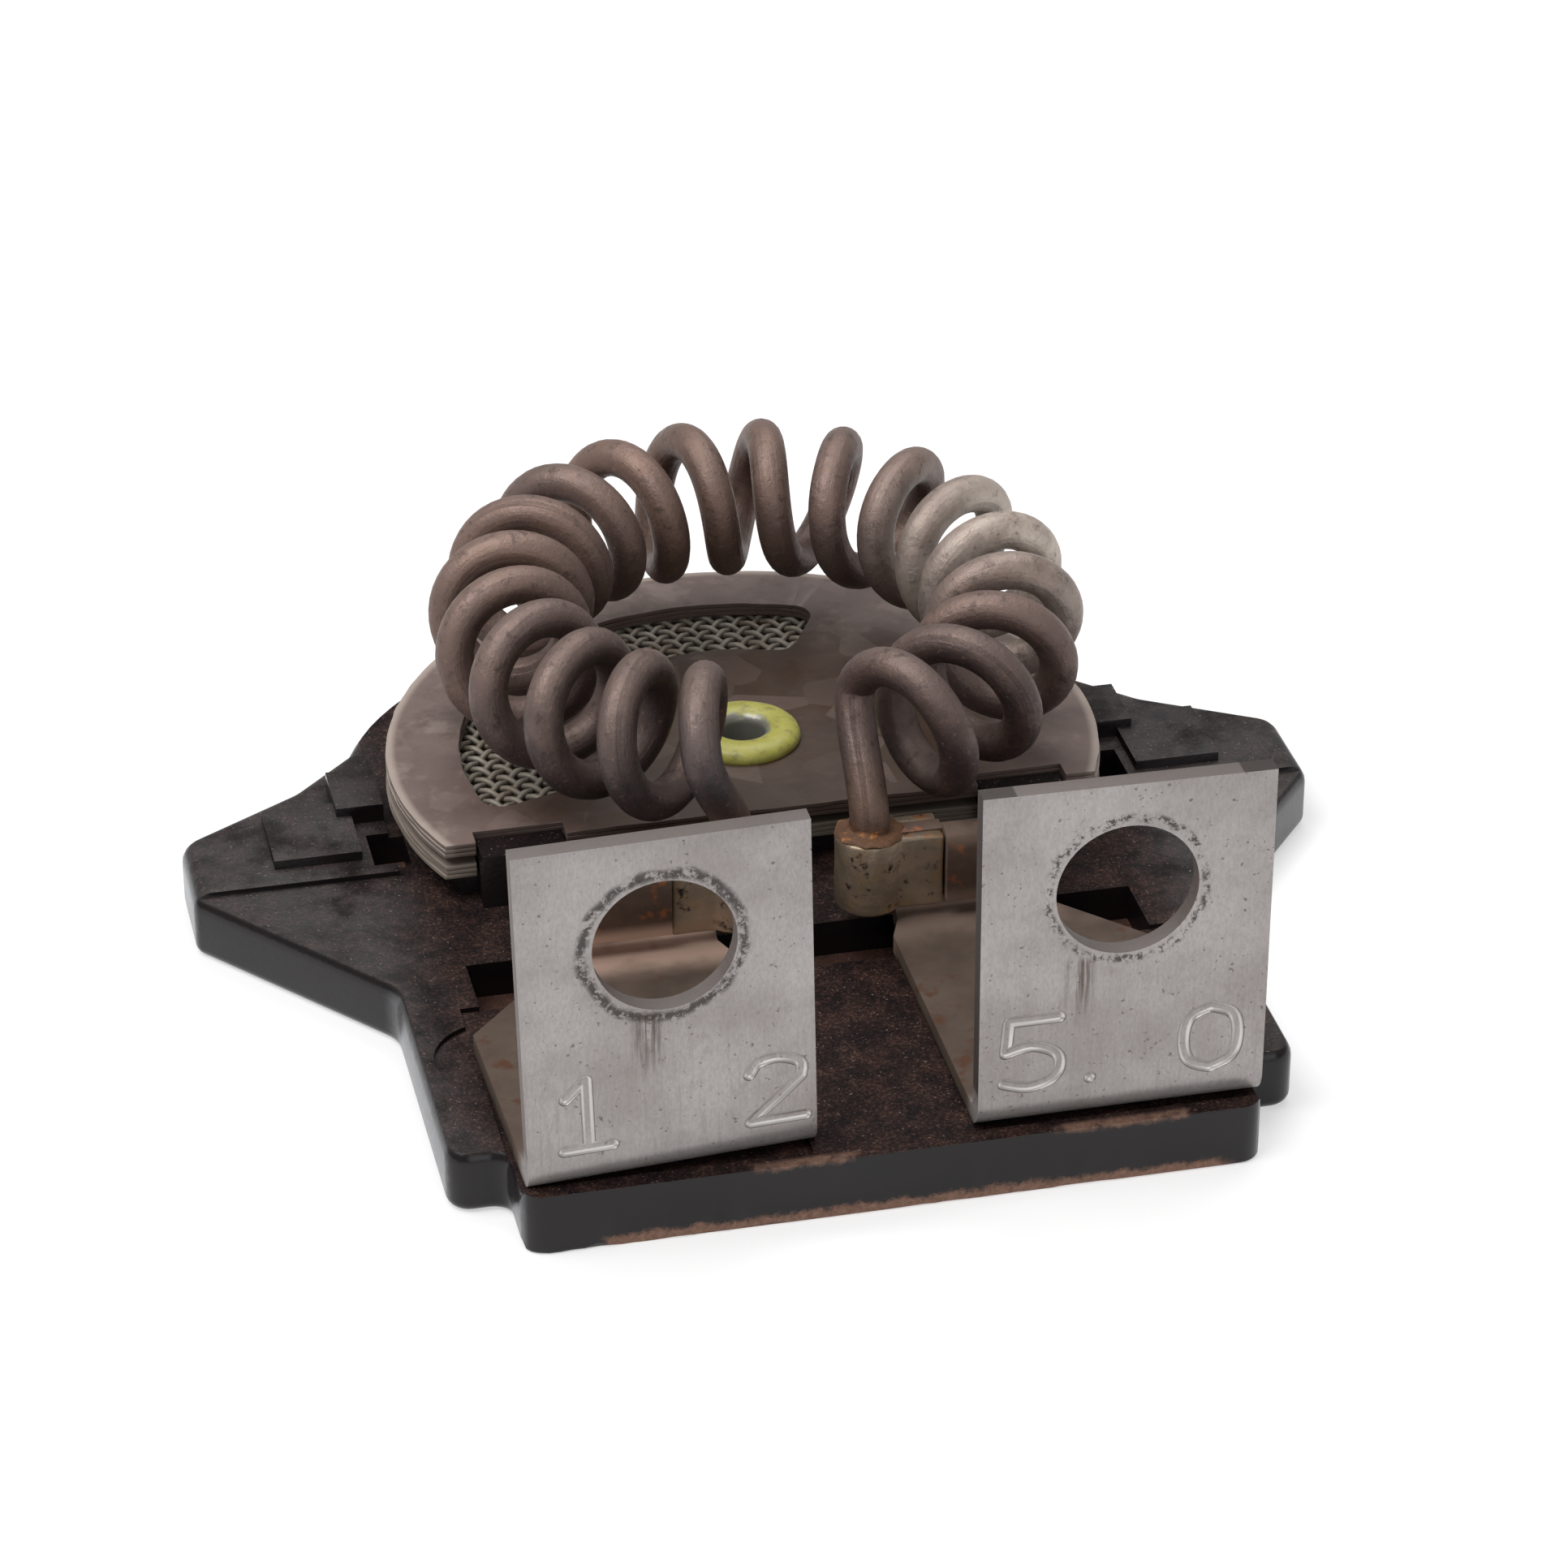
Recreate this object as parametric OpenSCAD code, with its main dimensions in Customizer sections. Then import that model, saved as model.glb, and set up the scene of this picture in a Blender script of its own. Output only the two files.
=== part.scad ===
// Heater unit of a thermal overload relay. A moulded base carries two screw terminals, and a ring
// of coiled resistance wire stands over a windowed mica disc. Origin: centre of the footprint on
// the underside of the base. +X to the right terminal, +Y away from the terminals, +Z up.

/* [Base] */
// Thickness of the base plate
base_t = 2.5; // [2:0.1:4]
// Width of the front tongue, under the two terminals
tongue_w = 27.8; // [26:0.2:34]
// How far the tongue's sides run back before the neck steps out
tongue_l = 3.2; // [2.6:0.1:5]
// Width of the neck behind the tongue
neck_w = 32.2; // [29:0.2:36]
// Radius of the round body of the base
body_r = 16.6; // [15.6:0.1:21]
// Distance from the front face to the axis of the disc and the coil
disc_y = 26.7; // [26:0.1:33]
// Half-width over the tips of the two ears
ear_reach = 22.8; // [20.5:0.1:28]
// Length of each ear's tip along Y
ear_tip_l = 4.4; // [3:0.1:7]
// Where the trough behind the terminals starts, from the front face
trough_y = 13.1; // [12:0.1:13.6]
// Depth of the trough
trough_d = 1.5; // [0.8:0.1:1.8]
// Height of the seat that carries the disc stack
seat_h = 1.05; // [0.6:0.05:2]

/* [Terminals] */
// Distance between the two screw holes
hole_pitch = 17; // [16.4:0.1:20]
// Width of each terminal's upright tab
tab_w = 10.8; // [10:0.1:12]
// Height of the tab above the base plate
tab_h = 13.9; // [10:0.1:18]
// Thickness of the terminal strip
strip_t = 0.75; // [0.5:0.05:1]
// Diameter of the screw hole
hole_d = 5.3; // [4:0.1:6]
// Height of the screw hole above the base plate
hole_z = 9.55; // [6:0.05:11]
// Gap from the base's front face to the tab's front face
tab_setback = 0.75; // [0.4:0.05:1]
// Distance from the tab's front face to the front face of the upright lug
lug_y = 14.55; // [14.2:0.05:14.8]
// Height of the lug's top edge above the base plate
lug_h = 4.3; // [3.6:0.1:5]
// Width of the lug
lug_w = 6.1; // [5:0.1:7]
// Outer radius of both bends
bend_r = 1.15; // [1:0.05:1.6]

/* [Disc stack] */
// Radius of the mica discs
disc_r = 14.4; // [13.6:0.1:15.4]
// Thickness of each mica disc
disc_t = 0.55; // [0.4:0.05:0.9]
// Thickness of the woven screen between the discs
mesh_t = 0.4; // [0.3:0.05:0.8]
// Distance from the axis to the straight front edge of the discs
chord_y = 5.85; // [5:0.05:7]
// Inner radius of the window
window_in_r = 7.4; // [6.6:0.1:8]
// Outer radius of the window
window_out_r = 11.4; // [10.4:0.1:12.4]
// Angle where the window starts, counted from +X
window_from = 62; // [50:1:80]
// Angle where the window ends
window_to = 198; // [150:1:200]

/* [Heater coil] */
// Diameter of the resistance wire
wire_d = 1.63; // [1.2:0.01:1.9]
// Radius of each turn, to the middle of the wire
turn_r = 2.48; // [2:0.02:2.8]
// Half-width of the ring, to the middle of the turns
ring_rx = 9.8; // [9.4:0.1:10.6]
// Half-length of the ring, to the middle of the turns
ring_ry = 10.6; // [10:0.1:11]
// Height of the ring's middle above the base plate
ring_z = 7.95; // [6.9:0.05:9]
// Whole turns between the first crest and the last
turns = 18; // [14:1:19]
// Angle between one turn and the next
turn_step = 17.44; // [16:0.02:18]

/* [Hidden] */
$fn = 64;
slip = 0.05;             // running gap between pieces that pass through each other
eps = 0.01;              // overlap of joined shapes inside one piece

// Base
front = -(disc_y + body_r) / 2;       // Y of the base's front face
axis_y = front + disc_y;              // Y of the disc and coil axis
top = base_t;                         // Z of the base plate's top face
corner_r = 0.9;
step_r = 0.7;                         // fillet between tongue and neck
neck_end_y = 15;                      // where the neck meets the ears, from the front face
trough_w = 26.4;
trough_l = 3;
seat_r = disc_r - 0.9;
post_w = 3.4;                         // posts that stand in the discs' notches
post_x = 10.1;
post_l = 1.5;
notch_d = 0.85;
notch_gap = 0.1;
pad_h = 0.22;                         // raised top of each ear
block_h = 0.62;                       // block on each ear
block_step_h = 1;
pocket_d = 1.2;

// Terminals
tab_front = front + tab_setback;      // Y of the tab's front face
lug_front = tab_front + lug_y;        // Y of the lug's front face
leg_corner_y = 9.6;                   // where the leg's outer corner is cut off, from the tab's front
hem_gap = 0.05;                       // between the lug and the hem folded down in front of it
hem_h = 3;
inner_bend_r = bend_r - strip_t;
leg_pocket_d = 0.2;                   // terminal legs lie in shallow recesses
leg_z = top - leg_pocket_d;           // underside of the legs

// Rivets
rivet_d = 2.6;
rivet_head_d = 4.4;
rivet_head_h = 0.7;
rivet_y = tab_front + 7.2;
rivet_tail_d = 4;
rivet_tail_h = 0.8;

// Disc stack
seat_top = top + seat_h;
lower_z = seat_top;
screen_z = lower_z + disc_t;
upper_z = screen_z + mesh_t;
stack_top = upper_z + disc_t;
screen_r = disc_r - 0.35;
window_corner_r = 0.9;

// Eyelet
eyelet_flange_r = 2.35;
eyelet_flange_h = 0.6;
eyelet_hole_r = 0.9;
eyelet_barrel_r = 1.5;
washer_r = 3;
washer_t = 0.5;
roll_r = 2.1;
roll_h = 0.5;
under_recess_r = washer_r + 0.3;
under_recess_d = washer_t + roll_h + 0.2;

// Coil and its two ends
wire_r = wire_d / 2;
ring_x = 0.6;
first_angle = 244.4;                  // angle of the first crest
coil_z = top + ring_z;
rings_per_turn = 16;
wire_sides = 8;
left_wire_x = -2.7;
right_wire_x = 2.6;
wire_y = lug_front + strip_t / 2;
lug_x = max(right_wire_x, -left_wire_x) + wire_r + slip;   // inner edge of the upright lugs
crimp_h = 3.1;
crimp_z = top + 1.05;                 // underside of the crimps
crimp_wall = 0.55;
crimp_end = lug_x + 1.8;              // where the crimps' wings end and the hems start
braze_r = wire_r + 0.75;
braze_h = 0.45;
wire_foot_z = crimp_z + 0.25;

// ---- shape helpers -------------------------------------------------------------------------

// Points of the arc that rounds corner b of the path a-b-c with radius r
function corner_arc(a, b, c, r, steps = 6) =
    let (u = (a - b) / norm(a - b), v = (c - b) / norm(c - b),
         half = acos(max(-1, min(1, u * v))) / 2,
         reach = r / tan(half),
         middle = b + (u + v) / norm(u + v) * r / sin(half),
         p = b + u * reach - middle, q = b + v * reach - middle,
         start = atan2(p[1], p[0]),
         turn = atan2(p[0] * q[1] - p[1] * q[0], p * q))
    r <= 0 ? [b] : [for (i = [0:steps]) let (t = start + turn * i / steps) middle + r * [cos(t), sin(t)]];

// A closed outline from corners [x, y, radius]
function rounded(corners) =
    let (n = len(corners))
    [for (i = [0:n - 1])
        let (a = corners[(i + n - 1) % n], b = corners[i], c = corners[(i + 1) % n])
        each corner_arc([a[0], a[1]], [b[0], b[1]], [c[0], c[1]], b[2])];

function mirrored(corners) =
    [for (i = [len(corners) - 1:-1:0]) [-corners[i][0], corners[i][1], corners[i][2]]];

// A sector of a ring with its four corners rounded by circles
module ring_sector(r_in, r_out, from, to, corner) {
    arc_steps = 40;
    in_trim = asin(corner / (r_in + corner));
    out_trim = asin(corner / (r_out - corner));
    function at(r, a) = r * [cos(a), sin(a)];
    polygon(concat(
        [for (i = [0:arc_steps]) at(r_out, from + out_trim + (to - from - 2 * out_trim) * i / arc_steps)],
        [at(r_out - corner, to - out_trim / 8)],
        [at(r_in + corner, to - in_trim / 8)],
        [for (i = [0:arc_steps]) at(r_in, to - in_trim - (to - from - 2 * in_trim) * i / arc_steps)],
        [at(r_in + corner, from + in_trim / 8)],
        [at(r_out - corner, from + out_trim / 8)]));
}

// Both the right-hand shape and its mirror image in X
module both_sides() {
    children();
    mirror([1, 0, 0]) children();
}

// ---- base ----------------------------------------------------------------------------------

// Right half of the plate's outline, from the front face to the back of the ear
function half_outline() =
    let (neck_x = neck_w / 2, tongue_x = tongue_w / 2,
         tip_y = disc_y - 3.5, root = [body_r * cos(23), disc_y + body_r * sin(23)], tuck = 1.3)
    [[tongue_x, 0, corner_r],
     [tongue_x, tongue_l, step_r],
     [neck_x, tongue_l, corner_r],
     [neck_x, neck_end_y, 2],
     [ear_reach, tip_y, 0.8],
     [ear_reach, tip_y + ear_tip_l, 1.2],
     [root[0] + 2.6, root[1] - 2.6, 2],
     [root[0] - tuck, root[1] + tuck, 0]];

module plate_outline() {
    translate([0, front])
        polygon(rounded(concat(half_outline(), mirrored(half_outline()))));
    translate([0, axis_y]) circle(body_r, $fn = 128);
}

// The discs' outline: a circle cut by a chord at the front, with two notches
module disc_outline(r, gap = 0) {
    difference() {
        circle(r, $fn = 160);
        translate([-r - 1, -chord_y - 2 * r]) square([2 * r + 2, 2 * r]);
        both_sides() translate([post_x - post_w / 2 - gap, -chord_y - 1])
            square([post_w + 2 * gap, 1 + notch_d]);
    }
}

module ear_details() {
    // rear part of the ear raised behind a ridge, and a block with its inner step
    translate([0, 0, top - eps]) linear_extrude(pad_h + eps) intersection() {
        plate_outline();
        translate([14.6, axis_y - 3.4]) square([ear_reach, body_r]);
    }
    translate([15.9, axis_y - 2.25, top - eps]) cube([3.5, 4, block_h + eps]);
    translate([14.6, axis_y + 0.6, top - eps]) cube([1.9, 3, block_step_h + eps]);
}

module base_moulding() {
    color("#2f2725")
    difference() {
        union() {
            linear_extrude(base_t) plate_outline();
            both_sides() ear_details();
            // seat of the disc stack
            translate([0, axis_y, top - eps]) linear_extrude(seat_h + eps)
                difference() {
                    circle(seat_r, $fn = 128);
                    translate([-seat_r - 1, -chord_y - 2 * seat_r + 0.6])
                        square([2 * seat_r + 2, 2 * seat_r]);
                }
            both_sides()
                translate([post_x - post_w / 2, axis_y - chord_y + notch_d - post_l - notch_gap, top - eps])
                    cube([post_w, post_l, stack_top - top - 0.25]);
        }
        // trough behind the terminals
        translate([-trough_w / 2, front + trough_y, top - trough_d]) cube([trough_w, trough_l, trough_d + 1]);
        // shallow recesses under the terminal legs, each with a round lobe at its outer edge
        both_sides() {
            translate([hole_pitch / 2 - tab_w / 2 - slip, tab_front, leg_z])
                cube([tab_w + 2 * slip, trough_y - tab_setback + eps, 1]);
            translate([hole_pitch / 2 + tab_w / 2 - 0.8, front + 9.6, leg_z]) cylinder(r = 2.4, h = 1);
            translate([14, axis_y - 2.8, top - pocket_d]) cube([1.5, 2.4, pocket_d + 2]);
            // rivet holes and their counterbores
            translate([hole_pitch / 2, rivet_y, -1]) cylinder(d = rivet_d + 2 * slip, h = base_t + 2);
            translate([hole_pitch / 2, rivet_y, -1])
                cylinder(d = rivet_tail_d + 2 * slip, h = 1 + rivet_tail_h);
        }
        // eyelet hole and its recess in the underside
        translate([0, axis_y, -1]) cylinder(r = eyelet_barrel_r + slip, h = seat_top + 2);
        translate([0, axis_y, -1]) cylinder(r = under_recess_r, h = 1 + under_recess_d);
    }
}

// ---- terminals -----------------------------------------------------------------------------

// A quarter of a bent strip, of width w along X: it joins a face at -Y to a face at -Z
module bend(w) {
    rotate([90, 0, 90]) rotate_extrude(angle = 90) translate([inner_bend_r, 0]) square([strip_t, w]);
}

// The right-hand terminal. The left one is its mirror image.
module terminal_body() {
    x0 = hole_pitch / 2 - tab_w / 2;
    lug_bend_y = lug_front + strip_t - bend_r;
    fold_r = strip_t + hem_gap / 2;
    hem_x = crimp_end + hem_gap;
    hem_w = lug_x + lug_w - hem_x;
    fold_z = top + lug_h - fold_r;
    difference() {
        union() {
            translate([x0, tab_front, leg_z + bend_r]) cube([tab_w, strip_t, top + tab_h - leg_z - bend_r]);
            translate([x0, tab_front + bend_r, leg_z + bend_r])
                mirror([0, 1, 0]) mirror([0, 0, 1]) bend(tab_w);
            translate([0, 0, leg_z]) linear_extrude(strip_t)
                polygon([[x0, tab_front + bend_r], [x0 + tab_w, tab_front + bend_r],
                         [x0 + tab_w, tab_front + leg_corner_y], [lug_x + lug_w, lug_bend_y],
                         [lug_x, lug_bend_y], [x0, lug_bend_y - 1.2]]);
            translate([lug_x, lug_bend_y, leg_z + bend_r]) mirror([0, 0, 1]) bend(lug_w);
            // upright lug, low beside the crimp and hemmed over further out
            translate([lug_x, lug_front, leg_z + bend_r])
                cube([hem_x - lug_x + eps, strip_t, crimp_z + crimp_h - leg_z - bend_r]);
            translate([hem_x, lug_front, leg_z + bend_r]) cube([hem_w, strip_t, fold_z - leg_z - bend_r]);
            translate([hem_x, lug_front - hem_gap / 2, fold_z]) rotate([90, 0, 90])
                rotate_extrude(angle = 180) translate([hem_gap / 2, 0]) square([strip_t, hem_w]);
            translate([hem_x, lug_front - hem_gap - strip_t, top + lug_h - hem_h])
                cube([hem_w, strip_t, hem_h - fold_r]);
        }
        translate([hole_pitch / 2, tab_front - 1, top + hole_z])
            rotate([-90, 0, 0]) cylinder(d = hole_d, h = strip_t + 2);
        translate([hole_pitch / 2, rivet_y, leg_z - 1]) cylinder(d = rivet_d + 2 * slip, h = strip_t + 2);
    }
}

module right_terminal() {
    color("#a9a6a3") terminal_body();
}

module left_terminal() {
    color("#a9a6a3") mirror([1, 0, 0]) terminal_body();
}

// Head on the leg, shank through the base and a swaged tail in the counterbore
module rivet() {
    translate([hole_pitch / 2, rivet_y, 0]) {
        translate([0, 0, leg_z + strip_t]) cylinder(d = rivet_head_d, h = rivet_head_h);
        translate([0, 0, rivet_tail_h - eps])
            cylinder(d = rivet_d, h = leg_z + strip_t - rivet_tail_h + 2 * eps);
        translate([0, 0, 0.1]) cylinder(d = rivet_tail_d, h = rivet_tail_h - 0.1);
    }
}

module right_rivet() {
    color("#8f8a84") rivet();
}

module left_rivet() {
    color("#8f8a84") mirror([1, 0, 0]) rivet();
}

// ---- disc stack ----------------------------------------------------------------------------

module upper_disc() {
    color("#8b7770")
    translate([0, axis_y, upper_z]) difference() {
        linear_extrude(disc_t) difference() {
            disc_outline(disc_r, notch_gap);
            ring_sector(window_in_r, window_out_r, window_from, window_to, window_corner_r);
        }
        translate([0, 0, -1]) cylinder(r = eyelet_barrel_r + slip, h = disc_t + 2);
    }
}

module mesh_screen() {
    color("#7b776c")
    translate([0, axis_y, screen_z]) difference() {
        linear_extrude(mesh_t) disc_outline(screen_r, notch_gap + 0.2);
        translate([0, 0, -1]) cylinder(r = eyelet_barrel_r + slip, h = mesh_t + 2);
    }
}

module lower_disc() {
    color("#6f5d57")
    translate([0, axis_y, lower_z]) difference() {
        linear_extrude(disc_t) disc_outline(disc_r, notch_gap);
        translate([0, 0, -1]) cylinder(r = eyelet_barrel_r + slip, h = disc_t + 2);
    }
}

// Rolled flange over the upper disc, barrel through the stack and the base, rolled foot below
module centre_eyelet() {
    foot_z = under_recess_d - washer_t - roll_h;
    color("#c9c545")
    translate([0, axis_y, 0]) rotate_extrude()
        polygon([[eyelet_hole_r, foot_z], [roll_r, foot_z], [roll_r, foot_z + roll_h],
                 [eyelet_barrel_r, foot_z + roll_h], [eyelet_barrel_r, stack_top],
                 [eyelet_flange_r, stack_top],
                 for (a = [0:15:180]) [(eyelet_flange_r + eyelet_hole_r) / 2
                     + (eyelet_flange_r - eyelet_hole_r) / 2 * cos(a),
                     stack_top + 0.12 + (eyelet_flange_h - 0.12) * sin(a)]]);
}

module eyelet_washer() {
    color("#9a958c")
    translate([0, axis_y, under_recess_d - washer_t]) difference() {
        cylinder(r = washer_r, h = washer_t);
        translate([0, 0, -1]) cylinder(r = eyelet_barrel_r + slip, h = washer_t + 2);
    }
}

// ---- heater coil ---------------------------------------------------------------------------

// Middle of the wire after t turns, counted from the first crest
function coil_point(t) =
    let (a = first_angle - turn_step * t, b = 90 + 360 * t,
         n = [cos(a) / ring_rx, sin(a) / ring_ry], out = n / norm(n))
    [ring_x + ring_rx * cos(a) + turn_r * cos(b) * out[0],
     axis_y + ring_ry * sin(a) + turn_r * cos(b) * out[1],
     coil_z + turn_r * sin(b)];

// A smooth stretch from point p, leaving along u, to point q, arriving along v
function blend(p, u, q, v, steps) =
    [for (i = [1:steps - 1]) let (s = i / steps, h1 = 2 * s * s * s - 3 * s * s + 1,
        h2 = s * s * s - 2 * s * s + s, h3 = -2 * s * s * s + 3 * s * s, h4 = s * s * s - s * s)
        h1 * p + h2 * u + h3 * q + h4 * v];

function coil_path() =
    let (lift = 4, first_t = -0.2, last_t = turns + 0.17,
         left_foot = [left_wire_x, wire_y, wire_foot_z], right_foot = [right_wire_x, wire_y, wire_foot_z],
         rise = crimp_z + crimp_h + braze_h - wire_foot_z,
         left_exit = left_foot + [0, 0, rise], right_exit = right_foot + [0, 0, rise],
         dt = 0.01,
         p0 = coil_point(first_t), d0 = (coil_point(first_t + dt) - p0) / norm(coil_point(first_t + dt) - p0),
         p1 = coil_point(last_t), d1 = (p1 - coil_point(last_t - dt)) / norm(p1 - coil_point(last_t - dt)))
    concat([left_foot, left_exit],
           blend(left_exit, [0, 0, lift], p0, d0 * lift, 5),
           [for (i = [0:floor((last_t - first_t) * rings_per_turn)])
               coil_point(first_t + i / rings_per_turn)],
           blend(p1, d1 * lift, right_exit, [0, 0, -lift], 7),
           [right_exit, right_foot]);

// Sideways direction of every ring, carried along the path without twist
function carried(path, i = 0, side = [1, 0, 0]) =
    i >= len(path) ? [] :
    let (a = path[max(i - 1, 0)], b = path[min(i + 1, len(path) - 1)],
         along = (b - a) / norm(b - a), flat = side - (side * along) * along, s = flat / norm(flat))
    concat([[s, cross(along, s)]], carried(path, i + 1, s));

module heater_coil() {
    path = coil_path();
    frames = carried(path);
    n = len(path);
    m = wire_sides;
    points = [for (i = [0:n - 1]) for (k = [0:m - 1]) let (a = 360 * k / m)
        path[i] + wire_r * (cos(a) * frames[i][0] + sin(a) * frames[i][1])];
    sides = [for (i = [0:n - 2]) for (k = [0:m - 1])
        [i * m + k, (i + 1) * m + k, (i + 1) * m + (k + 1) % m, i * m + (k + 1) % m]];
    color("#5c4d47")
    polyhedron(points, concat(sides, [[for (k = [0:m - 1]) k]], [[for (k = [m - 1:-1:0]) (n - 1) * m + k]]));
}

// ---- crimps and braze ----------------------------------------------------------------------

// A strip folded round the wire at distance wire_x from the middle; its two wings clasp the lug
module crimp(wire_x) {
    wing_l = crimp_end - wire_x;
    wing_w = strip_t + 2 * crimp_wall;
    translate([wire_x, wire_y, crimp_z]) difference() {
        linear_extrude(crimp_h) difference() {
            union() {
                circle(wire_r + crimp_wall);
                translate([0, -wing_w / 2]) square([wing_l, wing_w]);
            }
            translate([0, -strip_t / 2]) square([wing_l + 1, strip_t]);
        }
        translate([0, 0, -1]) cylinder(r = wire_r + slip, h = crimp_h + 2);
    }
}

module right_crimp() {
    color("#8a7a66") crimp(right_wire_x);
}

module left_crimp() {
    color("#8a7a66") mirror([1, 0, 0]) crimp(-left_wire_x);
}

// Fillet of braze on top of a crimp, round the wire
module braze(wire_x) {
    translate([wire_x, wire_y, crimp_z + crimp_h]) rotate_extrude()
        polygon([[wire_r + slip, 0], [braze_r, 0], [braze_r - 0.25, 0.12],
                 [wire_r + 0.2, 0.25], [wire_r + slip, braze_h]]);
}

module right_braze() {
    color("#b0743a") braze(right_wire_x);
}

module left_braze() {
    color("#b0743a") braze(left_wire_x);
}

base_moulding();
left_terminal();
right_terminal();
heater_coil();
left_crimp();
right_crimp();
left_braze();
right_braze();
upper_disc();
mesh_screen();
lower_disc();
centre_eyelet();
eyelet_washer();
left_rivet();
right_rivet();
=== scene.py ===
import math
from functools import partial

import bmesh
import bpy
from mathutils import Matrix, Vector, noise


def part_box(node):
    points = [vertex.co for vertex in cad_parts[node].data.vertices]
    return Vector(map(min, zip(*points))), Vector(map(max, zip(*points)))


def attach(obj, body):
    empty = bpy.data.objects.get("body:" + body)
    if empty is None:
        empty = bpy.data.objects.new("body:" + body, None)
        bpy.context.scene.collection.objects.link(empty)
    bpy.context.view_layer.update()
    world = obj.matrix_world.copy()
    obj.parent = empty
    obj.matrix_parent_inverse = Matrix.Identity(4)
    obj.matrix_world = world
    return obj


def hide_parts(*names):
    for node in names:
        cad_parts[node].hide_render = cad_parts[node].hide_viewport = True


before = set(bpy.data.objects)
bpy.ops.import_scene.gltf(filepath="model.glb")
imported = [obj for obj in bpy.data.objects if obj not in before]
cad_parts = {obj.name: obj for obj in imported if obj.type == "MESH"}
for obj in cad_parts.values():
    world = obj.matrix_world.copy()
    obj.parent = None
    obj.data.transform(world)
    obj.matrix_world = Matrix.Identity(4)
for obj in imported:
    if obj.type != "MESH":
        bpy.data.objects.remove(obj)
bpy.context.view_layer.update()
mm = 0.001
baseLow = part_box("base_moulding")[0]
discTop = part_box("upper_disc")[1].z
frontY = baseLow.y
plateTop = baseLow.z + 2.5 * mm
discAxis = Vector((0, frontY + 26.7 * mm, 0))
print("frame loaded")


# ordinary helpers

def hexColour(code):
    # sRGB hex to the linear values that Blender works in
    channels = [int(code[i:i + 2], 16) / 255 for i in (1, 3, 5)]
    linear = [c / 12.92 if c <= 0.04045 else ((c + 0.055) / 1.055) ** 2.4 for c in channels]
    return (*linear, 1)


def perMm(size):
    # pattern scale for a feature of this many millimetres
    return 1 / (size * mm)


def addNode(tree, kind, inputs=(), out=0, **settings):
    # inputs fill sockets in order or by name, each with a source, a hex colour or a plain value;
    # settings are the node's own, and the name of a shader node may leave out its ShaderNode
    node = tree.nodes.new(kind if "Node" in kind else "ShaderNode" + kind)
    for name, value in settings.items():
        setattr(node, name, value)
    for slot, value in inputs.items() if isinstance(inputs, dict) else enumerate(inputs):
        if isinstance(value, bpy.types.NodeSocket):
            tree.links.new(value, node.inputs[slot])
        else:
            hexCode = isinstance(value, str) and value.startswith("#")
            node.inputs[slot].default_value = hexColour(value) if hexCode else value
    return node.outputs[out] if node.outputs else None


def patches(add, place, size, low, high, detail=3, roughness=0.5):
    # soft-edged patches of this many millimetres: 0 where the noise is under low, 1 over high
    cloud = add("TexNoise", {"Vector": place, "Scale": perMm(size), "Detail": detail, "Roughness": roughness})
    return add("MapRange", [cloud, low, high], interpolation_type="SMOOTHSTEP")


def mottled(add, place, size, first, second, detail=3, roughness=0.5):
    # two tones in clouds of this many millimetres
    cloud = add("TexNoise", {"Vector": place, "Scale": perMm(size), "Detail": detail, "Roughness": roughness})
    return add("Mix", {0: cloud, 6: first, 7: second}, out=2, data_type="RGBA")


def band(add, source, low, full, fading, high):
    # 1 between full and fading, 0 under low and over high
    rising = add("MapRange", [source, low, full], interpolation_type="SMOOTHSTEP")
    falling = add("MapRange", [source, fading, high, 1, 0], interpolation_type="SMOOTHSTEP")
    return add("Math", [rising, falling], operation="MULTIPLY")


def layOver(add, under, over, mask, strength=1):
    # one colour laid over another where the mask says, at no more than this strength
    amount = add("Math", [mask, strength], operation="MULTIPLY")
    return add("Mix", {0: amount, 6: under, 7: over}, out=2, data_type="RGBA")


def nearPoint(add, place, point, inner, outer):
    # 1 near the point, falling to 0 at the outer distance
    away = add("VectorMath", [place, point], out="Value", operation="DISTANCE")
    return add("MapRange", [away, inner * mm, outer * mm, 1, 0], interpolation_type="SMOOTHSTEP")


def newMaterial(name, roughness, metallic=0, ior=None):
    material = bpy.data.materials.new(name)
    material.use_nodes = True
    tree = material.node_tree
    shader = tree.nodes["Principled BSDF"]
    shader.inputs["Roughness"].default_value = roughness
    shader.inputs["Metallic"].default_value = metallic
    if ior:
        shader.inputs["IOR"].default_value = ior
    return material, tree, shader, addNode(tree, "TexCoord", out="Object")


def addObject(name, data):
    made = bpy.data.objects.new(name, data)
    bpy.context.collection.objects.link(made)
    return made


def meshPiece(name, vertices, faces, material, smoothAngle=35):
    mesh = bpy.data.meshes.new(name)
    mesh.from_pydata([tuple(v) for v in vertices], [], faces)
    mesh.validate()
    piece = addObject(name, mesh)
    mesh.materials.append(material)
    smoothPiece(piece, smoothAngle)
    return piece


def smoothPiece(piece, angle):
    # smooth shading with edges sharper than the angle kept crisp
    mesh = piece.data
    work = bmesh.new()
    work.from_mesh(mesh)
    work.normal_update()
    limit = math.radians(angle)
    for face in work.faces:
        face.smooth = True
    for edge in work.edges:
        edge.smooth = len(edge.link_faces) == 2 and edge.calc_face_angle(0) < limit
    work.to_mesh(mesh)
    work.free()


def applyModifiers(piece):
    graph = bpy.context.evaluated_depsgraph_get()
    graph.update()
    made = bpy.data.meshes.new_from_object(piece.evaluated_get(graph))
    piece.modifiers.clear()
    piece.data = made


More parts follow.
